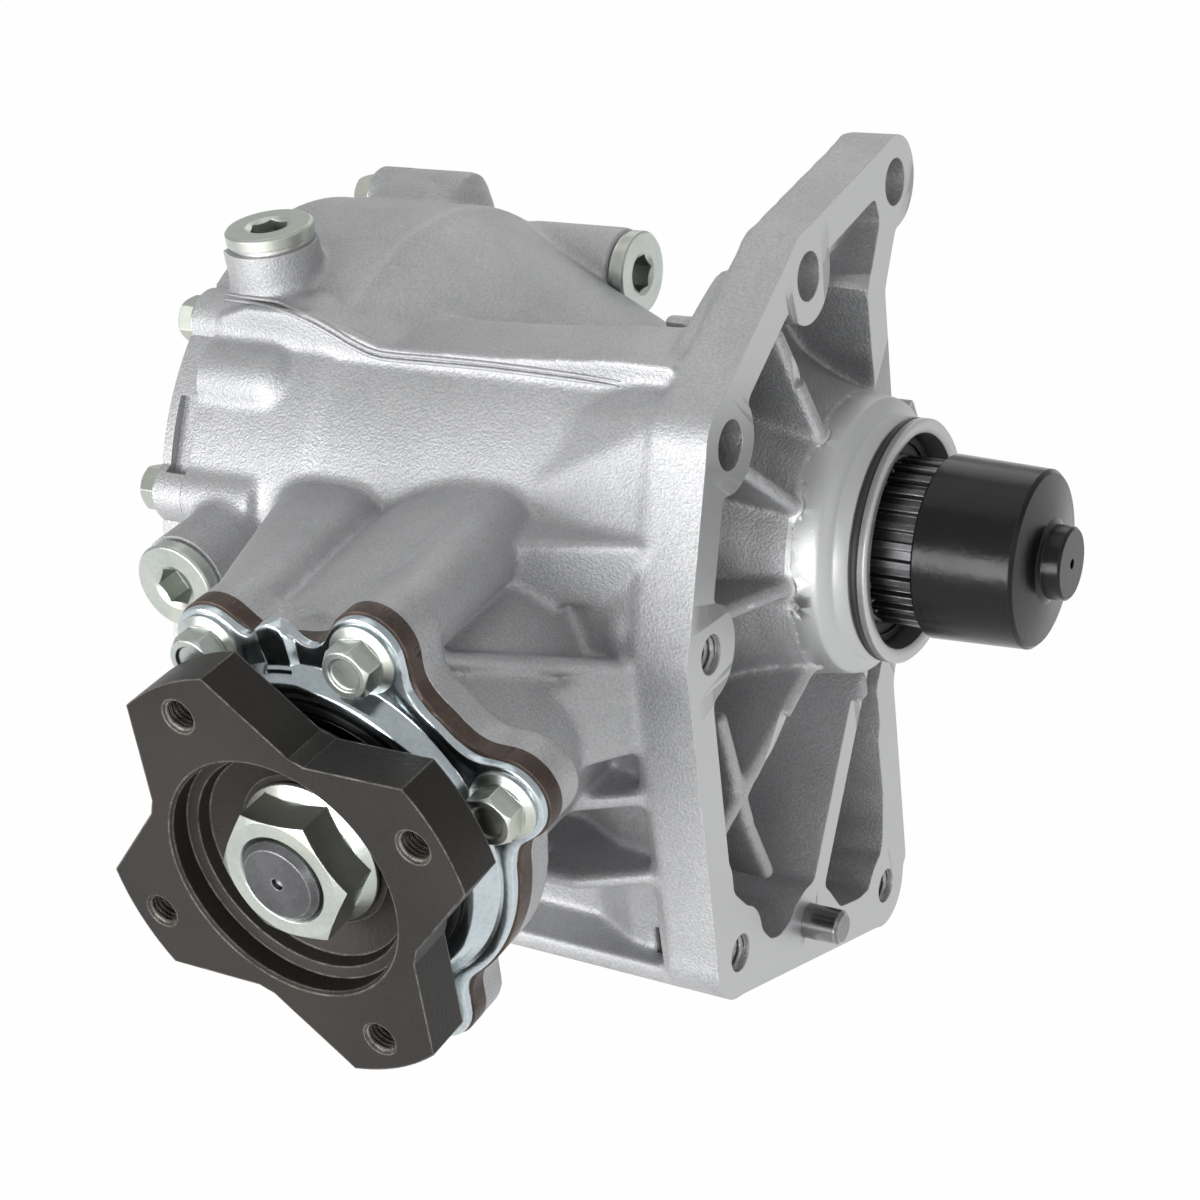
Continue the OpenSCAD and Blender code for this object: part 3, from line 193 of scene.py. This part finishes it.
# Fine grain, cloudy tone and larger smudges, all from the piece's own place in space
metal_grain, into, out = group(
    "metal grain", [("Grain Scale", 1500.0), ("Cloud Scale", 40.0)], ["Grain", "Tone", "Smudge"]
)
place = put(metal_grain, "ShaderNodeTexCoord")
fine = put(metal_grain, "ShaderNodeTexNoise", Detail=3.0, Roughness=0.6)
metal_grain.links.new(place.outputs["Object"], fine.inputs["Vector"])
metal_grain.links.new(into.outputs["Grain Scale"], fine.inputs["Scale"])
cloud = put(metal_grain, "ShaderNodeTexNoise", Detail=5.0, Roughness=0.62)
metal_grain.links.new(place.outputs["Object"], cloud.inputs["Vector"])
metal_grain.links.new(into.outputs["Cloud Scale"], cloud.inputs["Scale"])
smudge = put(metal_grain, "ShaderNodeTexNoise", Detail=2.0, Roughness=0.5, Distortion=0.6)
metal_grain.links.new(place.outputs["Object"], smudge.inputs["Vector"])
metal_grain.links.new(maths(metal_grain, into.outputs["Cloud Scale"], 0.4), smudge.inputs["Scale"])
metal_grain.links.new(fine.outputs["Fac"], out.inputs["Grain"])
metal_grain.links.new(spread(metal_grain, cloud.outputs["Fac"], 0.32, 0.68), out.inputs["Tone"])
metal_grain.links.new(spread(metal_grain, smudge.outputs["Fac"], 0.35, 0.7), out.inputs["Smudge"])

# Lighter edges, broken up by the grain: rubbed wear on most finishes, a painted edge highlight on the cast
# aluminium
edge_wear_and_highlight, into, out = group("edge wear and painted highlight", [("Break Up", 220.0), ("Reach", 0.1)], ["Worn"])
rounded = put(edge_wear_and_highlight, "ShaderNodeBevel", samples=4)
edge_mask_radius = 0.0007
rounded.inputs["Radius"].default_value = edge_mask_radius
flat = put(edge_wear_and_highlight, "ShaderNodeNewGeometry")
facing = put(edge_wear_and_highlight, "ShaderNodeVectorMath", operation="DOT_PRODUCT")
edge_wear_and_highlight.links.new(rounded.outputs["Normal"], facing.inputs[0])
edge_wear_and_highlight.links.new(flat.outputs["Normal"], facing.inputs[1])
turned_away = maths(edge_wear_and_highlight, 1.0, facing.outputs["Value"], "SUBTRACT")
place = put(edge_wear_and_highlight, "ShaderNodeTexCoord")
patches = put(edge_wear_and_highlight, "ShaderNodeTexNoise", Detail=4.0, Roughness=0.7)
edge_wear_and_highlight.links.new(place.outputs["Object"], patches.inputs["Vector"])
edge_wear_and_highlight.links.new(into.outputs["Break Up"], patches.inputs["Scale"])
reached = maths(edge_wear_and_highlight, turned_away, into.outputs["Reach"], "DIVIDE")
edge_share = spread(edge_wear_and_highlight, reached, 0.05, 1.0)
broken = spread(edge_wear_and_highlight, patches.outputs["Fac"], 0.3, 0.6)
edge_wear_and_highlight.links.new(maths(edge_wear_and_highlight, edge_share, broken), out.inputs["Worn"])


def colour_mix(tree, share, below, above):
    """Mixes two colours, plain or varying, by a varying share."""
    made = tree.nodes.new("ShaderNodeMix")
    made.data_type = "RGBA"
    tree.links.new(share, made.inputs[0])
    for socket, value in ((made.inputs[6], below), (made.inputs[7], above)):
        if isinstance(value, tuple):
            socket.default_value = (*value, 1.0)
        else:
            tree.links.new(value, socket)
    return made.outputs[2]


def number_mix(tree, share, below, above):
    """Mixes two varying numbers by a varying share."""
    made = put(tree, "ShaderNodeMix", data_type="FLOAT")
    for index, value in ((0, share), (2, below), (3, above)):
        tree.links.new(value, made.inputs[index])
    return made.outputs[0]


soft_edge_radius = 0.00045
stain_share = 0.6


def metal(
    name, dark, light, metallic, smooth, rough,
    grain=1500.0, depth=0.00004, cloud=40.0, worn_and_highlit_edge=None, reach=0.1, stain=None, speck=0.3,
):
    """A metal, rubber or plastic finish: cloudy tone between two colours, roughness between
    two values, grain as bump, stains and a lighter edge colour if given, which is rubbed wear on most finishes and
    a painted edge highlight on the cast aluminium."""
    made = bpy.data.materials.new(name)
    made.use_nodes = True
    tree = made.node_tree
    body = tree.nodes["Principled BSDF"]
    body.inputs["Metallic"].default_value = metallic
    grains = tree.nodes.new("ShaderNodeGroup")
    grains.node_tree = metal_grain
    grains.inputs["Grain Scale"].default_value = grain
    grains.inputs["Cloud Scale"].default_value = cloud
    clouds = maths(tree, grains.outputs["Tone"], 1.0 - speck)
    specks = maths(tree, spread(tree, grains.outputs["Grain"], 0.36, 0.64), speck)
    tone = colour_mix(tree, maths(tree, clouds, specks, "ADD"), dark, light)
    if stain:
        tone = colour_mix(tree, maths(tree, grains.outputs["Smudge"], stain_share), tone, stain)
    # Lighter edge colour: rubbed wear, and on the cast aluminium a painted highlight
    if worn_and_highlit_edge:
        edges = tree.nodes.new("ShaderNodeGroup")
        edges.node_tree = edge_wear_and_highlight
        edges.inputs["Reach"].default_value = reach
        tone = colour_mix(tree, edges.outputs["Worn"], tone, worn_and_highlit_edge)
    tree.links.new(tone, body.inputs["Base Color"])
    smudged = maths(tree, grains.outputs["Smudge"], 0.6)
    grained = maths(tree, grains.outputs["Grain"], 0.4)
    uneven = maths(tree, smudged, grained, "ADD")
    tree.links.new(spread(tree, uneven, 0.1, 0.8, smooth, rough), body.inputs["Roughness"])
    bump = put(tree, "ShaderNodeBump", Strength=1.0, Distance=depth)
    tree.links.new(grains.outputs["Grain"], bump.inputs["Height"])
    soft_edge = put(tree, "ShaderNodeBevel", samples=4)
    soft_edge.inputs["Radius"].default_value = soft_edge_radius
    tree.links.new(soft_edge.outputs["Normal"], bump.inputs["Normal"])
    tree.links.new(bump.outputs["Normal"], body.inputs["Normal"])
    return made


def dress(material, *names):
    """Gives CAD nodes this finish."""
    for name in names:
        mesh = nodes[name].data
        mesh.materials.clear()
        mesh.materials.append(material)


# The casting's lighter edge colour is a painted highlight along its edges
cast_metal = metal(
    "blasted_cast_aluminium", (0.38, 0.383, 0.390), (0.56, 0.563, 0.572), 0.80, 0.47, 0.64,
    grain=1350.0, depth=0.00024, cloud=26.0, worn_and_highlit_edge=(0.68, 0.685, 0.69), reach=0.22, speck=0.55,
)

# Milled bell face and turned hub: lighter and smoother, with fine tool marks
tree = cast_metal.node_tree
body = tree.nodes["Principled BSDF"]
where = put(tree, "ShaderNodeTexCoord")
at = put(tree, "ShaderNodeSeparateXYZ")
tree.links.new(where.outputs["Object"], at.inputs[0])
way = put(tree, "ShaderNodeSeparateXYZ")
tree.links.new(where.outputs["Normal"], way.inputs[0])
face_band, faces_out = 0.0004, 0.9
hub_shoulder, hub_radius = 0.0028, 0.0395
near_face = maths(tree, maths(tree, at.outputs["X"], 0.0, "ABSOLUTE"), face_band, "LESS_THAN")
on_face = maths(tree, near_face, maths(tree, way.outputs["X"], faces_out, "GREATER_THAN"))
across = maths(tree, at.outputs["Y"], 2.0, "POWER")
upward = maths(tree, at.outputs["Z"], 2.0, "POWER")
from_axis = maths(tree, maths(tree, across, upward, "ADD"), 0.5, "POWER")
past_shoulder = maths(tree, at.outputs["X"], hub_shoulder, "GREATER_THAN")
on_hub = maths(tree, past_shoulder, maths(tree, from_axis, hub_radius, "LESS_THAN"))
milled = maths(tree, on_face, on_hub, "MAXIMUM")
tool_marks = put(tree, "ShaderNodeTexNoise", Scale=2600.0, Detail=2.0)
tree.links.new(where.outputs["Object"], tool_marks.inputs["Vector"])
plain_tone = body.inputs["Base Color"].links[0].from_socket
milled_tone = colour_mix(tree, tool_marks.outputs["Fac"], (0.50, 0.505, 0.51), (0.64, 0.645, 0.65))
tree.links.new(colour_mix(tree, milled, plain_tone, milled_tone), body.inputs["Base Color"])
plain_rough = body.inputs["Roughness"].links[0].from_socket
milled_rough = spread(tree, tool_marks.outputs["Fac"], 0.3, 0.7, 0.38, 0.5)
tree.links.new(number_mix(tree, milled, plain_rough, milled_rough), body.inputs["Roughness"])
bump = body.inputs["Normal"].links[0].from_node
plain_height = bump.inputs["Height"].links[0].from_socket
milled_height = maths(tree, tool_marks.outputs["Fac"], 0.15)
tree.links.new(number_mix(tree, milled, plain_height, milled_height), bump.inputs["Height"])
dress(cast_metal, "main_housing", "end_cover")

# The case casting's own soft corners: the solid is filled with small blocks, rubbed
# smooth, and its joint faces, holes and turned hub are cut or put back sharp; the end cover keeps its CAD shape.


def make_piece(build, name):
    """Turns a built mesh into a piece of the scene."""
    mesh = bpy.data.meshes.new(name)
    build.to_mesh(mesh)
    build.free()
    piece = bpy.data.objects.new(name, mesh)
    scene.collection.objects.link(piece)
    return piece


def finished_mesh(piece):
    """Applies the piece's modifiers."""
    bpy.context.view_layer.update()
    made = bpy.data.meshes.new_from_object(piece.evaluated_get(bpy.context.evaluated_depsgraph_get()))
    piece.modifiers.clear()
    old = piece.data
    piece.data = made
    bpy.data.meshes.remove(old)


def drum(radius, start, end, centre, along, sides=96):
    """A closed round bar along an axis, as a tool to cut with."""
    build = bmesh.new()
    aim = Vector(along).to_track_quat("Z", "Y").to_matrix().to_4x4()
    bmesh.ops.create_cone(
        build, cap_ends=True, segments=sides, radius1=radius, radius2=radius, depth=end - start,
        matrix=Matrix.Translation(centre) @ aim @ Matrix.Translation((0, 0, (start + end) / 2)),
    )
    return build


def slab(low, high):
    """A closed block between two corners, as a tool to cut with."""
    build = bmesh.new()
    size = Vector(high) - Vector(low)
    centre = Matrix.Translation((Vector(high) + Vector(low)) / 2)
    bmesh.ops.create_cube(build, size=1.0, matrix=centre @ Matrix.Diagonal((*size, 1)))
    return build


def bridge(build, loops, ends=False):
    """Joins each loop of vertices to the next, and the last to the first unless both get end faces."""
    around = len(loops[0])
    for first, second in zip(loops, loops[1:] if ends else loops[1:] + loops[:1]):
        for i in range(around):
            j = (i + 1) % around
            build.faces.new((first[i], first[j], second[j], second[i]))
    if ends:
        build.faces.new(loops[0])
        build.faces.new(loops[-1][::-1])
    bmesh.ops.recalc_face_normals(build, faces=build.faces)


def loft(point_at, steps, *rings):
    """A closed ring; each loop has a radius and a distance out, plain or found from the angle."""
    build = bmesh.new()
    loops = []
    for radius_at, out_at in rings:
        loop = []
        for i in range(steps):
            angle = 2 * math.pi * i / steps
            radius = radius_at(angle) if callable(radius_at) else radius_at
            out = out_at(angle) if callable(out_at) else out_at
            point = point_at(radius * math.cos(angle), radius * math.sin(angle), out)
            loop.append(build.verts.new(point))
        loops.append(loop)
    bridge(build, loops)
    return build


def round_input(across, up, out):
    """A point seen along the input axis."""
    return (out, across, up)


output_x, output_z = -0.065, -0.013


def round_output(across, up, out):
    """A point seen along the output axis."""
    return (output_x + across, -out, output_z + up)


def carve(piece, operation, *tools):
    """Cuts each tool from the piece, adds it, or keeps only what is inside it."""
    for build in tools:
        tool = build if isinstance(build, bpy.types.Object) else make_piece(build, "tool")
        cut = piece.modifiers.new("cut", "BOOLEAN")
        cut.operation, cut.solver, cut.object = operation, "MANIFOLD", tool
        finished_mesh(piece)
        bpy.data.objects.remove(tool)


weld = 0.000002


def welded_copy(node, name, stretch=None):
    """A closed copy of a CAD node's mesh; stretch says how far each vertex moves."""
    build = bmesh.new()
    build.from_mesh(nodes[node].data)
    bmesh.ops.remove_doubles(build, verts=build.verts, dist=weld)
    if stretch:
        for vertex in build.verts:
            vertex.co += Vector(stretch(vertex.co))
    return make_piece(build, name)


def soften(piece, block, rubs, keep):
    """Rounds every corner of a casting: small blocks, then a number of rubs, then fewer faces."""
    blocks = piece.modifiers.new("blocks", "REMESH")
    blocks.mode, blocks.voxel_size = "VOXEL", block
    rub = piece.modifiers.new("rub", "SMOOTH")
    rub.factor, rub.iterations = 0.5, rubs
    thin = piece.modifiers.new("thin", "DECIMATE")
    thin.ratio = keep
    finished_mesh(piece)


def stand_in(piece, node, material, sharp_at):
    """Shades a piece smooth between its sharp edges and puts it in the place of its CAD node."""
    piece.data.shade_smooth()
    piece.data.set_sharp_from_angle(angle=math.radians(sharp_at))
    piece.data.materials.clear()
    piece.data.materials.append(material)
    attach(piece, "case")
    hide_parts(node)


# The output joint's outline, which the neck, the carrier and the retainer share
lobe_angles = (19.0, 70.5, 122.0, 212.0, 289.0)
lobe_circle, lobe_half = 0.0535, 0.011
pad_angle, pad_circle, pad_half = 98.5, 0.0520, 0.005
disc_radius, disc_fillet = 0.050, 0.009


def lobed_edge(angle, shrink=0.0, tab=False):
    """Radius at an angle of a disc and five lobes with soft fillets, and of the pad's lobe if asked."""
    arms = [(math.radians(lobe), lobe_circle, lobe_half) for lobe in lobe_angles]
    if tab:
        arms.append((math.radians(pad_angle), pad_circle, pad_half))
    low, high = 0.040, 0.070
    for _ in range(18):
        radius = (low + high) / 2
        gap = radius - disc_radius
        for lobe, reach, half in arms:
            across, along = radius * math.sin(angle - lobe), radius * math.cos(angle - lobe)
            arm = math.hypot(across, along - min(max(along, 0.0), reach)) - half
            meet = max(disc_fillet - abs(gap - arm), 0.0)
            gap = min(gap, arm) - meet * meet / (4 * disc_fillet)
        if gap < -shrink:
            low = radius
        else:
            high = radius
    return low


tapped_holes = ((-0.0752, 0.0037), (-0.0789, -0.0873), (0.0101, -0.1274))
tap_radius = 0.0051
neck_top = -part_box("main_housing")[0].y

grow = 0.003
on_plane = 0.00002
hub_edge = 0.0402
cover_face = -0.162
seat_edge, seat_cutter = 0.0135, 0.016
fill_seat = Vector((-0.1515, -0.0315, 0.085))
level_seat = Vector((-0.1475, -0.099, 0.0145))
side_seat = Vector((-0.085, 0.0455, 0.0505))

def out_of_case(at):
    """Machined faces go outwards here, so that the rubbing leaves metal to cut back."""
    if abs(at.x) < on_plane and math.hypot(at.y, at.z) > hub_edge:
        return (grow, 0, 0)
    if abs(at.x - cover_face) < on_plane:
        return (-grow, 0, 0)
    if abs(at.y + neck_top) < on_plane:
        return (0, -grow, 0)
    if abs(at.z - fill_seat.z) < on_plane and (at - fill_seat).xy.length < seat_edge:
        return (0, 0, grow)
    if abs(at.y - level_seat.y) < on_plane and (at - level_seat).xz.length < seat_edge:
        return (0, -grow, 0)
    return (0, 0, 0)

case = welded_copy("main_housing", "cast_case_skin", out_of_case)
neck_root, neck_end, neck_bore = neck_top - 0.009, neck_top + grow, 0.044
carve(case, "UNION", loft(
    round_output, 360,
    (lobed_edge, neck_root), (lobed_edge, neck_end), (neck_bore, neck_end), (neck_bore, neck_root),
))
soften(case, block=0.00095, rubs=16, keep=0.3)

along_input, clearance, through, blind = (1, 0, 0), 0.0065, 0.05, 0.0155
bell_holes = [((y, z), clearance, through) for y, z in ((0.0518, 0.0814), (-0.0043, 0.0763), (0.057, -0.009))]
bell_holes += [((-0.054, 0.0517), clearance, blind)]
bell_holes += [(spot, tap_radius, 0.024) for spot in tapped_holes]

def face_start(angle):
    """The milled face begins at the hub, and further out where the bell is open."""
    return 0.054 if math.cos(angle) < 0.1 else 0.0405

carve(
    case, "DIFFERENCE",
    loft(round_input, 120, (face_start, 0.0), (0.2, 0.0), (0.2, 0.01), (face_start, 0.01)),
    slab((-0.2, -0.13, -0.13), (cover_face, 0.13, 0.13)),
    slab((-0.2, -0.16, -0.1), (0.05, -neck_top, 0.1)),
    drum(seat_cutter, 0.0, 0.01, fill_seat, (0, 0, 1)),
    drum(seat_cutter, 0.0, 0.011, level_seat, (0, -1, 0)),
    drum(0.0132, 0.0, 0.047, side_seat, along_input),
    *[drum(radius, -depth, 0.02, (0, *spot), along_input, 64) for spot, radius, depth in bell_holes],
)
hub_bar = (0.0388, -0.05, 0.03, (0, 0, 0), along_input, 160)
turned_core = welded_copy("main_housing", "turned_core")
carve(turned_core, "INTERSECT", drum(*hub_bar))
carve(case, "DIFFERENCE", drum(*hub_bar))
carve(case, "UNION", turned_core)
stand_in(case, "main_housing", cast_metal, 32)

# The parting flash: two thin cast ridges along the top edge of the side wall
flash_lines = [
    [(-0.1618, -0.0434, 0.0733), (-0.1520, -0.0448, 0.0736), (-0.1429, -0.0447, 0.0732), (-0.1365, -0.0466, 0.0727),
     (-0.1286, -0.0497, 0.0725), (-0.1214, -0.0502, 0.0699), (-0.1146, -0.0504, 0.0668), (-0.1078, -0.0505, 0.0645),
     (-0.1010, -0.0505, 0.0641), (-0.0862, -0.0504, 0.0645), (-0.0721, -0.0505, 0.0647), (-0.0584, -0.0505, 0.0646),
     (-0.0449, -0.0505, 0.0643), (-0.0316, -0.0507, 0.0639)],
    [(-0.1612, -0.0451, 0.0725), (-0.1521, -0.0459, 0.0727), (-0.1435, -0.0478, 0.0728), (-0.1355, -0.0498, 0.0728),
     (-0.1289, -0.0504, 0.0713), (-0.1220, -0.0505, 0.0685), (-0.1154, -0.0505, 0.0653), (-0.1085, -0.0506, 0.0630),
     (-0.1020, -0.0507, 0.0626), (-0.0868, -0.0506, 0.0629), (-0.0727, -0.0506, 0.0632), (-0.0591, -0.0506, 0.0631),
     (-0.0455, -0.0506, 0.0629), (-0.0320, -0.0512, 0.0627)],
]
flash_radius, flash_sides, flash_taper, curve_steps = 0.0006, 8, 8, 6
flash_stand = Vector((0, -0.00015, 0.00015))
build = bmesh.new()
for path in flash_lines:
    points = [Vector(point) + flash_stand for point in path]
    spans = zip(points[:1] + points, points, points[1:], points[2:] + points[-1:])
    line = []
    for before, here, after, beyond in spans:
        slope = after - before
        bend = 2 * before - 5 * here + 4 * after - beyond
        twist = 3 * here - before - 3 * after + beyond
        for step in range(curve_steps):
            t = step / curve_steps
            line.append(0.5 * (2 * here + slope * t + bend * t ** 2 + twist * t ** 3))
    line.append(points[-1])
    loops = []
    for i, point in enumerate(line):
        along = (line[min(i + 1, len(line) - 1)] - line[max(i - 1, 0)]).normalized()
        side = along.cross(Vector((0, 1, 0))).normalized()
        up = along.cross(side)
        from_end = min(i, len(line) - 1 - i)
        radius = flash_radius * min(1.0, 0.25 + from_end / flash_taper)
        turns = [2 * math.pi * k / flash_sides for k in range(flash_sides)]
        loops.append([
            build.verts.new(point + radius * (math.cos(turn) * side + math.sin(turn) * up)) for turn in turns
        ])
    bridge(build, loops, ends=True)
flash = make_piece(build, "parting_flash")
flash.data.shade_smooth()
flash.data.materials.append(cast_metal)
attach(flash, "case")

# ---------------------------------------------------------------- Screws, plugs and washers
# Bright zinc plated steel: flanged hexagon screws round the cover and the
# carrier, and three socket plugs that seal on soft flat washers.
zinc_plate = metal(
    "bright_zinc_plate", (0.44, 0.48, 0.46), (0.60, 0.63, 0.60), 1.0, 0.26, 0.44,
    grain=900.0, depth=0.00002, cloud=90.0, worn_and_highlit_edge=(0.78, 0.80, 0.79), stain=(0.56, 0.57, 0.47),
)
dress(zinc_plate, "cover_bolts", "retainer_bolts", "fill_plug", "level_plug", "side_plug")
soft_metal = metal(
    "soft_washer_metal", (0.60, 0.60, 0.59), (0.74, 0.74, 0.73), 1.0, 0.3, 0.45,
    grain=1200.0, depth=0.00002, cloud=120.0,
)
dress(soft_metal, "plug_washers")
pin_steel = metal(
    "polished_pin_steel", (0.16, 0.16, 0.165), (0.26, 0.26, 0.265), 1.0, 0.16, 0.3,
    grain=1600.0, depth=0.00001, cloud=80.0, worn_and_highlit_edge=(0.55, 0.55, 0.55),
)
dress(pin_steel, "dowel_pin", "bearing_shim", "collapsible_spacer")

# ---------------------------------------------------------------- Input shaft, pilot ring and cap
# The hollow splined shaft shows between the pilot hub and a black
# moulded plastic cap that protects it until the unit is fitted.
gear_steel = metal(
    "machined_gear_steel", (0.30, 0.30, 0.30), (0.45, 0.45, 0.45), 1.0, 0.24, 0.42,
    grain=1400.0, depth=0.00002, cloud=70.0, worn_and_highlit_edge=(0.7, 0.7, 0.7),
)
dress(gear_steel, "ring_gear")
shaft_steel = metal(
    "dark_shaft_steel", (0.085, 0.086, 0.09), (0.17, 0.172, 0.178), 1.0, 0.26, 0.44,
    grain=1400.0, depth=0.00002, cloud=70.0, worn_and_highlit_edge=(0.6, 0.6, 0.6), reach=0.2,
)
dress(shaft_steel, "input_shaft", "pinion_shaft")
black_oxide = metal(
    "black_oxide_screw", (0.03, 0.03, 0.03), (0.07, 0.07, 0.07), 0.6, 0.35, 0.5,
    grain=1200.0, depth=0.00002, worn_and_highlit_edge=(0.4, 0.4, 0.4),
)
dress(black_oxide, "ring_gear_bolts")
bearing_steel = metal(
    "ground_bearing_steel", (0.52, 0.53, 0.54), (0.68, 0.69, 0.70), 1.0, 0.12, 0.24,
    grain=2200.0, depth=0.000008, cloud=60.0,
)
for seat in ("front", "rear", "head", "tail"):
    dress(bearing_steel, f"{seat}_bearing_cup", f"{seat}_bearing_cone", f"{seat}_bearing_rollers")
seal_rubber = metal(
    "oiled_black_rubber", (0.012, 0.012, 0.012), (0.028, 0.028, 0.028), 0.0, 0.32, 0.55,
    grain=1800.0, depth=0.00003, cloud=90.0,
)
dress(seal_rubber, "pilot_o_ring", "cover_seal", "input_seal", "axle_seal")
dress(seal_rubber, "carrier_o_ring", "output_seal", "dust_seal")
cap_plastic = metal(
    "black_cap_plastic", (0.0025, 0.0025, 0.003), (0.006, 0.006, 0.0065), 0.0, 0.14, 0.30,
    grain=500.0, depth=0.00006, cloud=45.0, worn_and_highlit_edge=(0.05, 0.05, 0.052), reach=0.3,
)
cap_body = cap_plastic.node_tree.nodes["Principled BSDF"]
cap_body.inputs["Specular IOR Level"].default_value = 0.3
dress(cap_plastic, "shipping_cap")

# ---------------------------------------------------------------- Output flange, nut and retainer
# A lobed iron flange, black phosphated and rubbed brown, is drawn up by one
# zinc plated nut; behind it a bluish zinc plate holds a dark iron carrier.
phosphate = metal(
    "black_phosphate_iron", (0.0075, 0.0066, 0.0058), (0.020, 0.0175, 0.015), 0.35, 0.40, 0.60,
    grain=850.0, depth=0.00013, cloud=34.0, worn_and_highlit_edge=(0.34, 0.31, 0.28), reach=0.10, stain=(0.030, 0.023, 0.018),
)
dress(phosphate, "companion_flange")
dress(zinc_plate, "flange_nut")
blue_zinc = metal(
    "bluish_zinc_sheet", (0.42, 0.49, 0.53), (0.62, 0.68, 0.71), 1.0, 0.12, 0.26,
    grain=800.0, depth=0.00002, cloud=60.0, worn_and_highlit_edge=(0.8, 0.83, 0.84),
)
dress(blue_zinc, "dust_deflector")
oiled_iron = metal(
    "oiled_brown_iron", (0.045, 0.030, 0.024), (0.105, 0.072, 0.058), 0.4, 0.36, 0.55,
    grain=900.0, depth=0.0001, cloud=60.0, worn_and_highlit_edge=(0.2, 0.16, 0.13),
)


def on_circle(centre_radius, degrees):
    """Where a hole's centre lies in the plane of the output joint."""
    turn = math.radians(degrees)
    return output_x + centre_radius * math.cos(turn), output_z + centre_radius * math.sin(turn)


def bolted_ring(piece, node, material):
    """Drills the five bolt holes and puts the piece in the place of its CAD node."""
    for lobe in lobe_angles:
        x, z = on_circle(lobe_circle, lobe)
        carve(piece, "DIFFERENCE", drum(0.0044, 0.14, 0.17, (x, 0, z), (0, -1, 0), 48))
    stand_in(piece, node, material, 30)


# The carrier's flange takes the filleted outline, level with the neck behind it
hair = 0.00002
sheet_back = -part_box("retainer_plate")[1].y
carrier_back, carrier_front, carrier_bore = neck_top + hair, sheet_back - hair, 0.036
carrier = welded_copy("pinion_carrier", "pinion_carrier_skin")
carve(carrier, "UNION", loft(
    round_output, 360,
    (lobed_edge, carrier_back),
    (lobed_edge, sheet_back - 0.00052),
    (lambda angle: lobed_edge(angle, 0.0005), carrier_front),
    (carrier_bore, carrier_front),
    (carrier_bore, carrier_back),
))
bolted_ring(carrier, "pinion_carrier", oiled_iron)

# The retainer is one pressed sheet: rolled rim, raised pad between the two
# upper bolts, and a drawn collar that holds the dust seal
sheet_thick, pad_rise, pad_reach, pad_ramp = 0.0025, 0.0015, 6.6, 2.0


def sheet_edge(shrink):
    """The sheet's outline with its pad, drawn in by this much."""
    return lambda angle: lobed_edge(angle, shrink, True)


def sheet_top(drop=0.0):
    """The sheet's front, raised at the pad and lowered by this much."""
    def out_at(angle):
        off = abs(math.degrees(angle) - pad_angle)
        share = min(max((pad_reach - off) / pad_ramp, 0.0), 1.0)
        return sheet_back + sheet_thick + pad_rise * share * share * (3.0 - 2.0 * share) - drop
    return out_at


collar = [
    (0.0438, 0.0050), (0.0430, 0.0070), (0.0424, 0.0077), (0.0416, 0.0080), (0.0388, 0.0080),
    (0.0385, 0.0077), (0.0385, 0.0062), (0.0411, 0.0060), (0.0432, 0.0),
]
sheet = make_piece(loft(
    round_output, 360,
    (sheet_edge(0.0006), sheet_back),
    (sheet_edge(0.0006), sheet_top(0.0008)),
    (sheet_edge(0.00085), sheet_top(0.00025)),
    (sheet_edge(0.0014), sheet_top()),
    (sheet_edge(0.0034), sheet_top()),
    (0.0466, sheet_top()),
    (0.0456, sheet_top(-0.0002)),
    (0.0449, sheet_top(-0.0010)),
    *[(radius, sheet_back + out) for radius, out in collar],
), "retainer_sheet")
bolted_ring(sheet, "retainer_plate", blue_zinc)

# ---------------------------------------------------------------- Threads in the tapped holes
# The three M12 holes of the bell and the four of the output flange are
# tapped; each thread is one spiral ridge cut into the wall of its hole.


def thread(name, holes, radius, depth, pitch, length, material, body_name):
    """One piece with a spiral ridged sleeve in each hole; a hole is its mouth and the way into the metal."""
    around, per_turn, run_in = 36, 6, 0.6
    ridge_clear, sleeve_clear = 0.00006, 0.00002
    along = int(length / pitch * per_turn)
    turns = [i / around for i in range(around)]
    sleeve = []
    for step in range(along + 1):
        deep = length * step / along
        ridge = depth * min(1.0, deep / (run_in * pitch))
        crests = [1.0 - abs(2.0 * ((deep / pitch + turn) % 1.0) - 1.0) for turn in turns]
        sleeve.append((deep, [radius - ridge_clear - ridge * crest for crest in crests]))
    sleeve += [(deep, [radius - sleeve_clear] * around) for deep in (length, 0.0)]
    build = bmesh.new()
    for mouth, inward in holes:
        aim = Vector(inward).to_track_quat("Z", "Y").to_matrix()
        loops = []
        for deep, walls in sleeve:
            loop = []
            for turn, wall in zip(turns, walls):
                angle = 2 * math.pi * turn
                at = Vector((wall * math.cos(angle), wall * math.sin(angle), deep))
                loop.append(build.verts.new(Vector(mouth) + aim @ at))
            loops.append(loop)
        bridge(build, loops)
    piece = make_piece(build, name)
    piece.data.shade_flat()
    piece.data.materials.append(material)
    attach(piece, body_name)


tap_metal = metal(
    "cut_aluminium_thread", (0.30, 0.30, 0.305), (0.50, 0.50, 0.505), 0.9, 0.28, 0.4,
    grain=1500.0, depth=0.00002, cloud=120.0,
)
bell_taps = [((-0.0012, *spot), (-1, 0, 0)) for spot in tapped_holes]
thread("bell_threads", bell_taps, tap_radius, 0.0008, 0.00175, 0.020, tap_metal, "case")
tap_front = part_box("companion_flange")[0].y + 0.0005
flange_taps = []
for quarter in range(4):
    x, z = on_circle(0.04635, 25.2 + 90 * quarter)
    flange_taps.append(((x, tap_front, z), (0, 1, 0)))
thread("flange_threads", flange_taps, 0.00425, 0.0006, 0.0013, 0.010, phosphate, "output line")
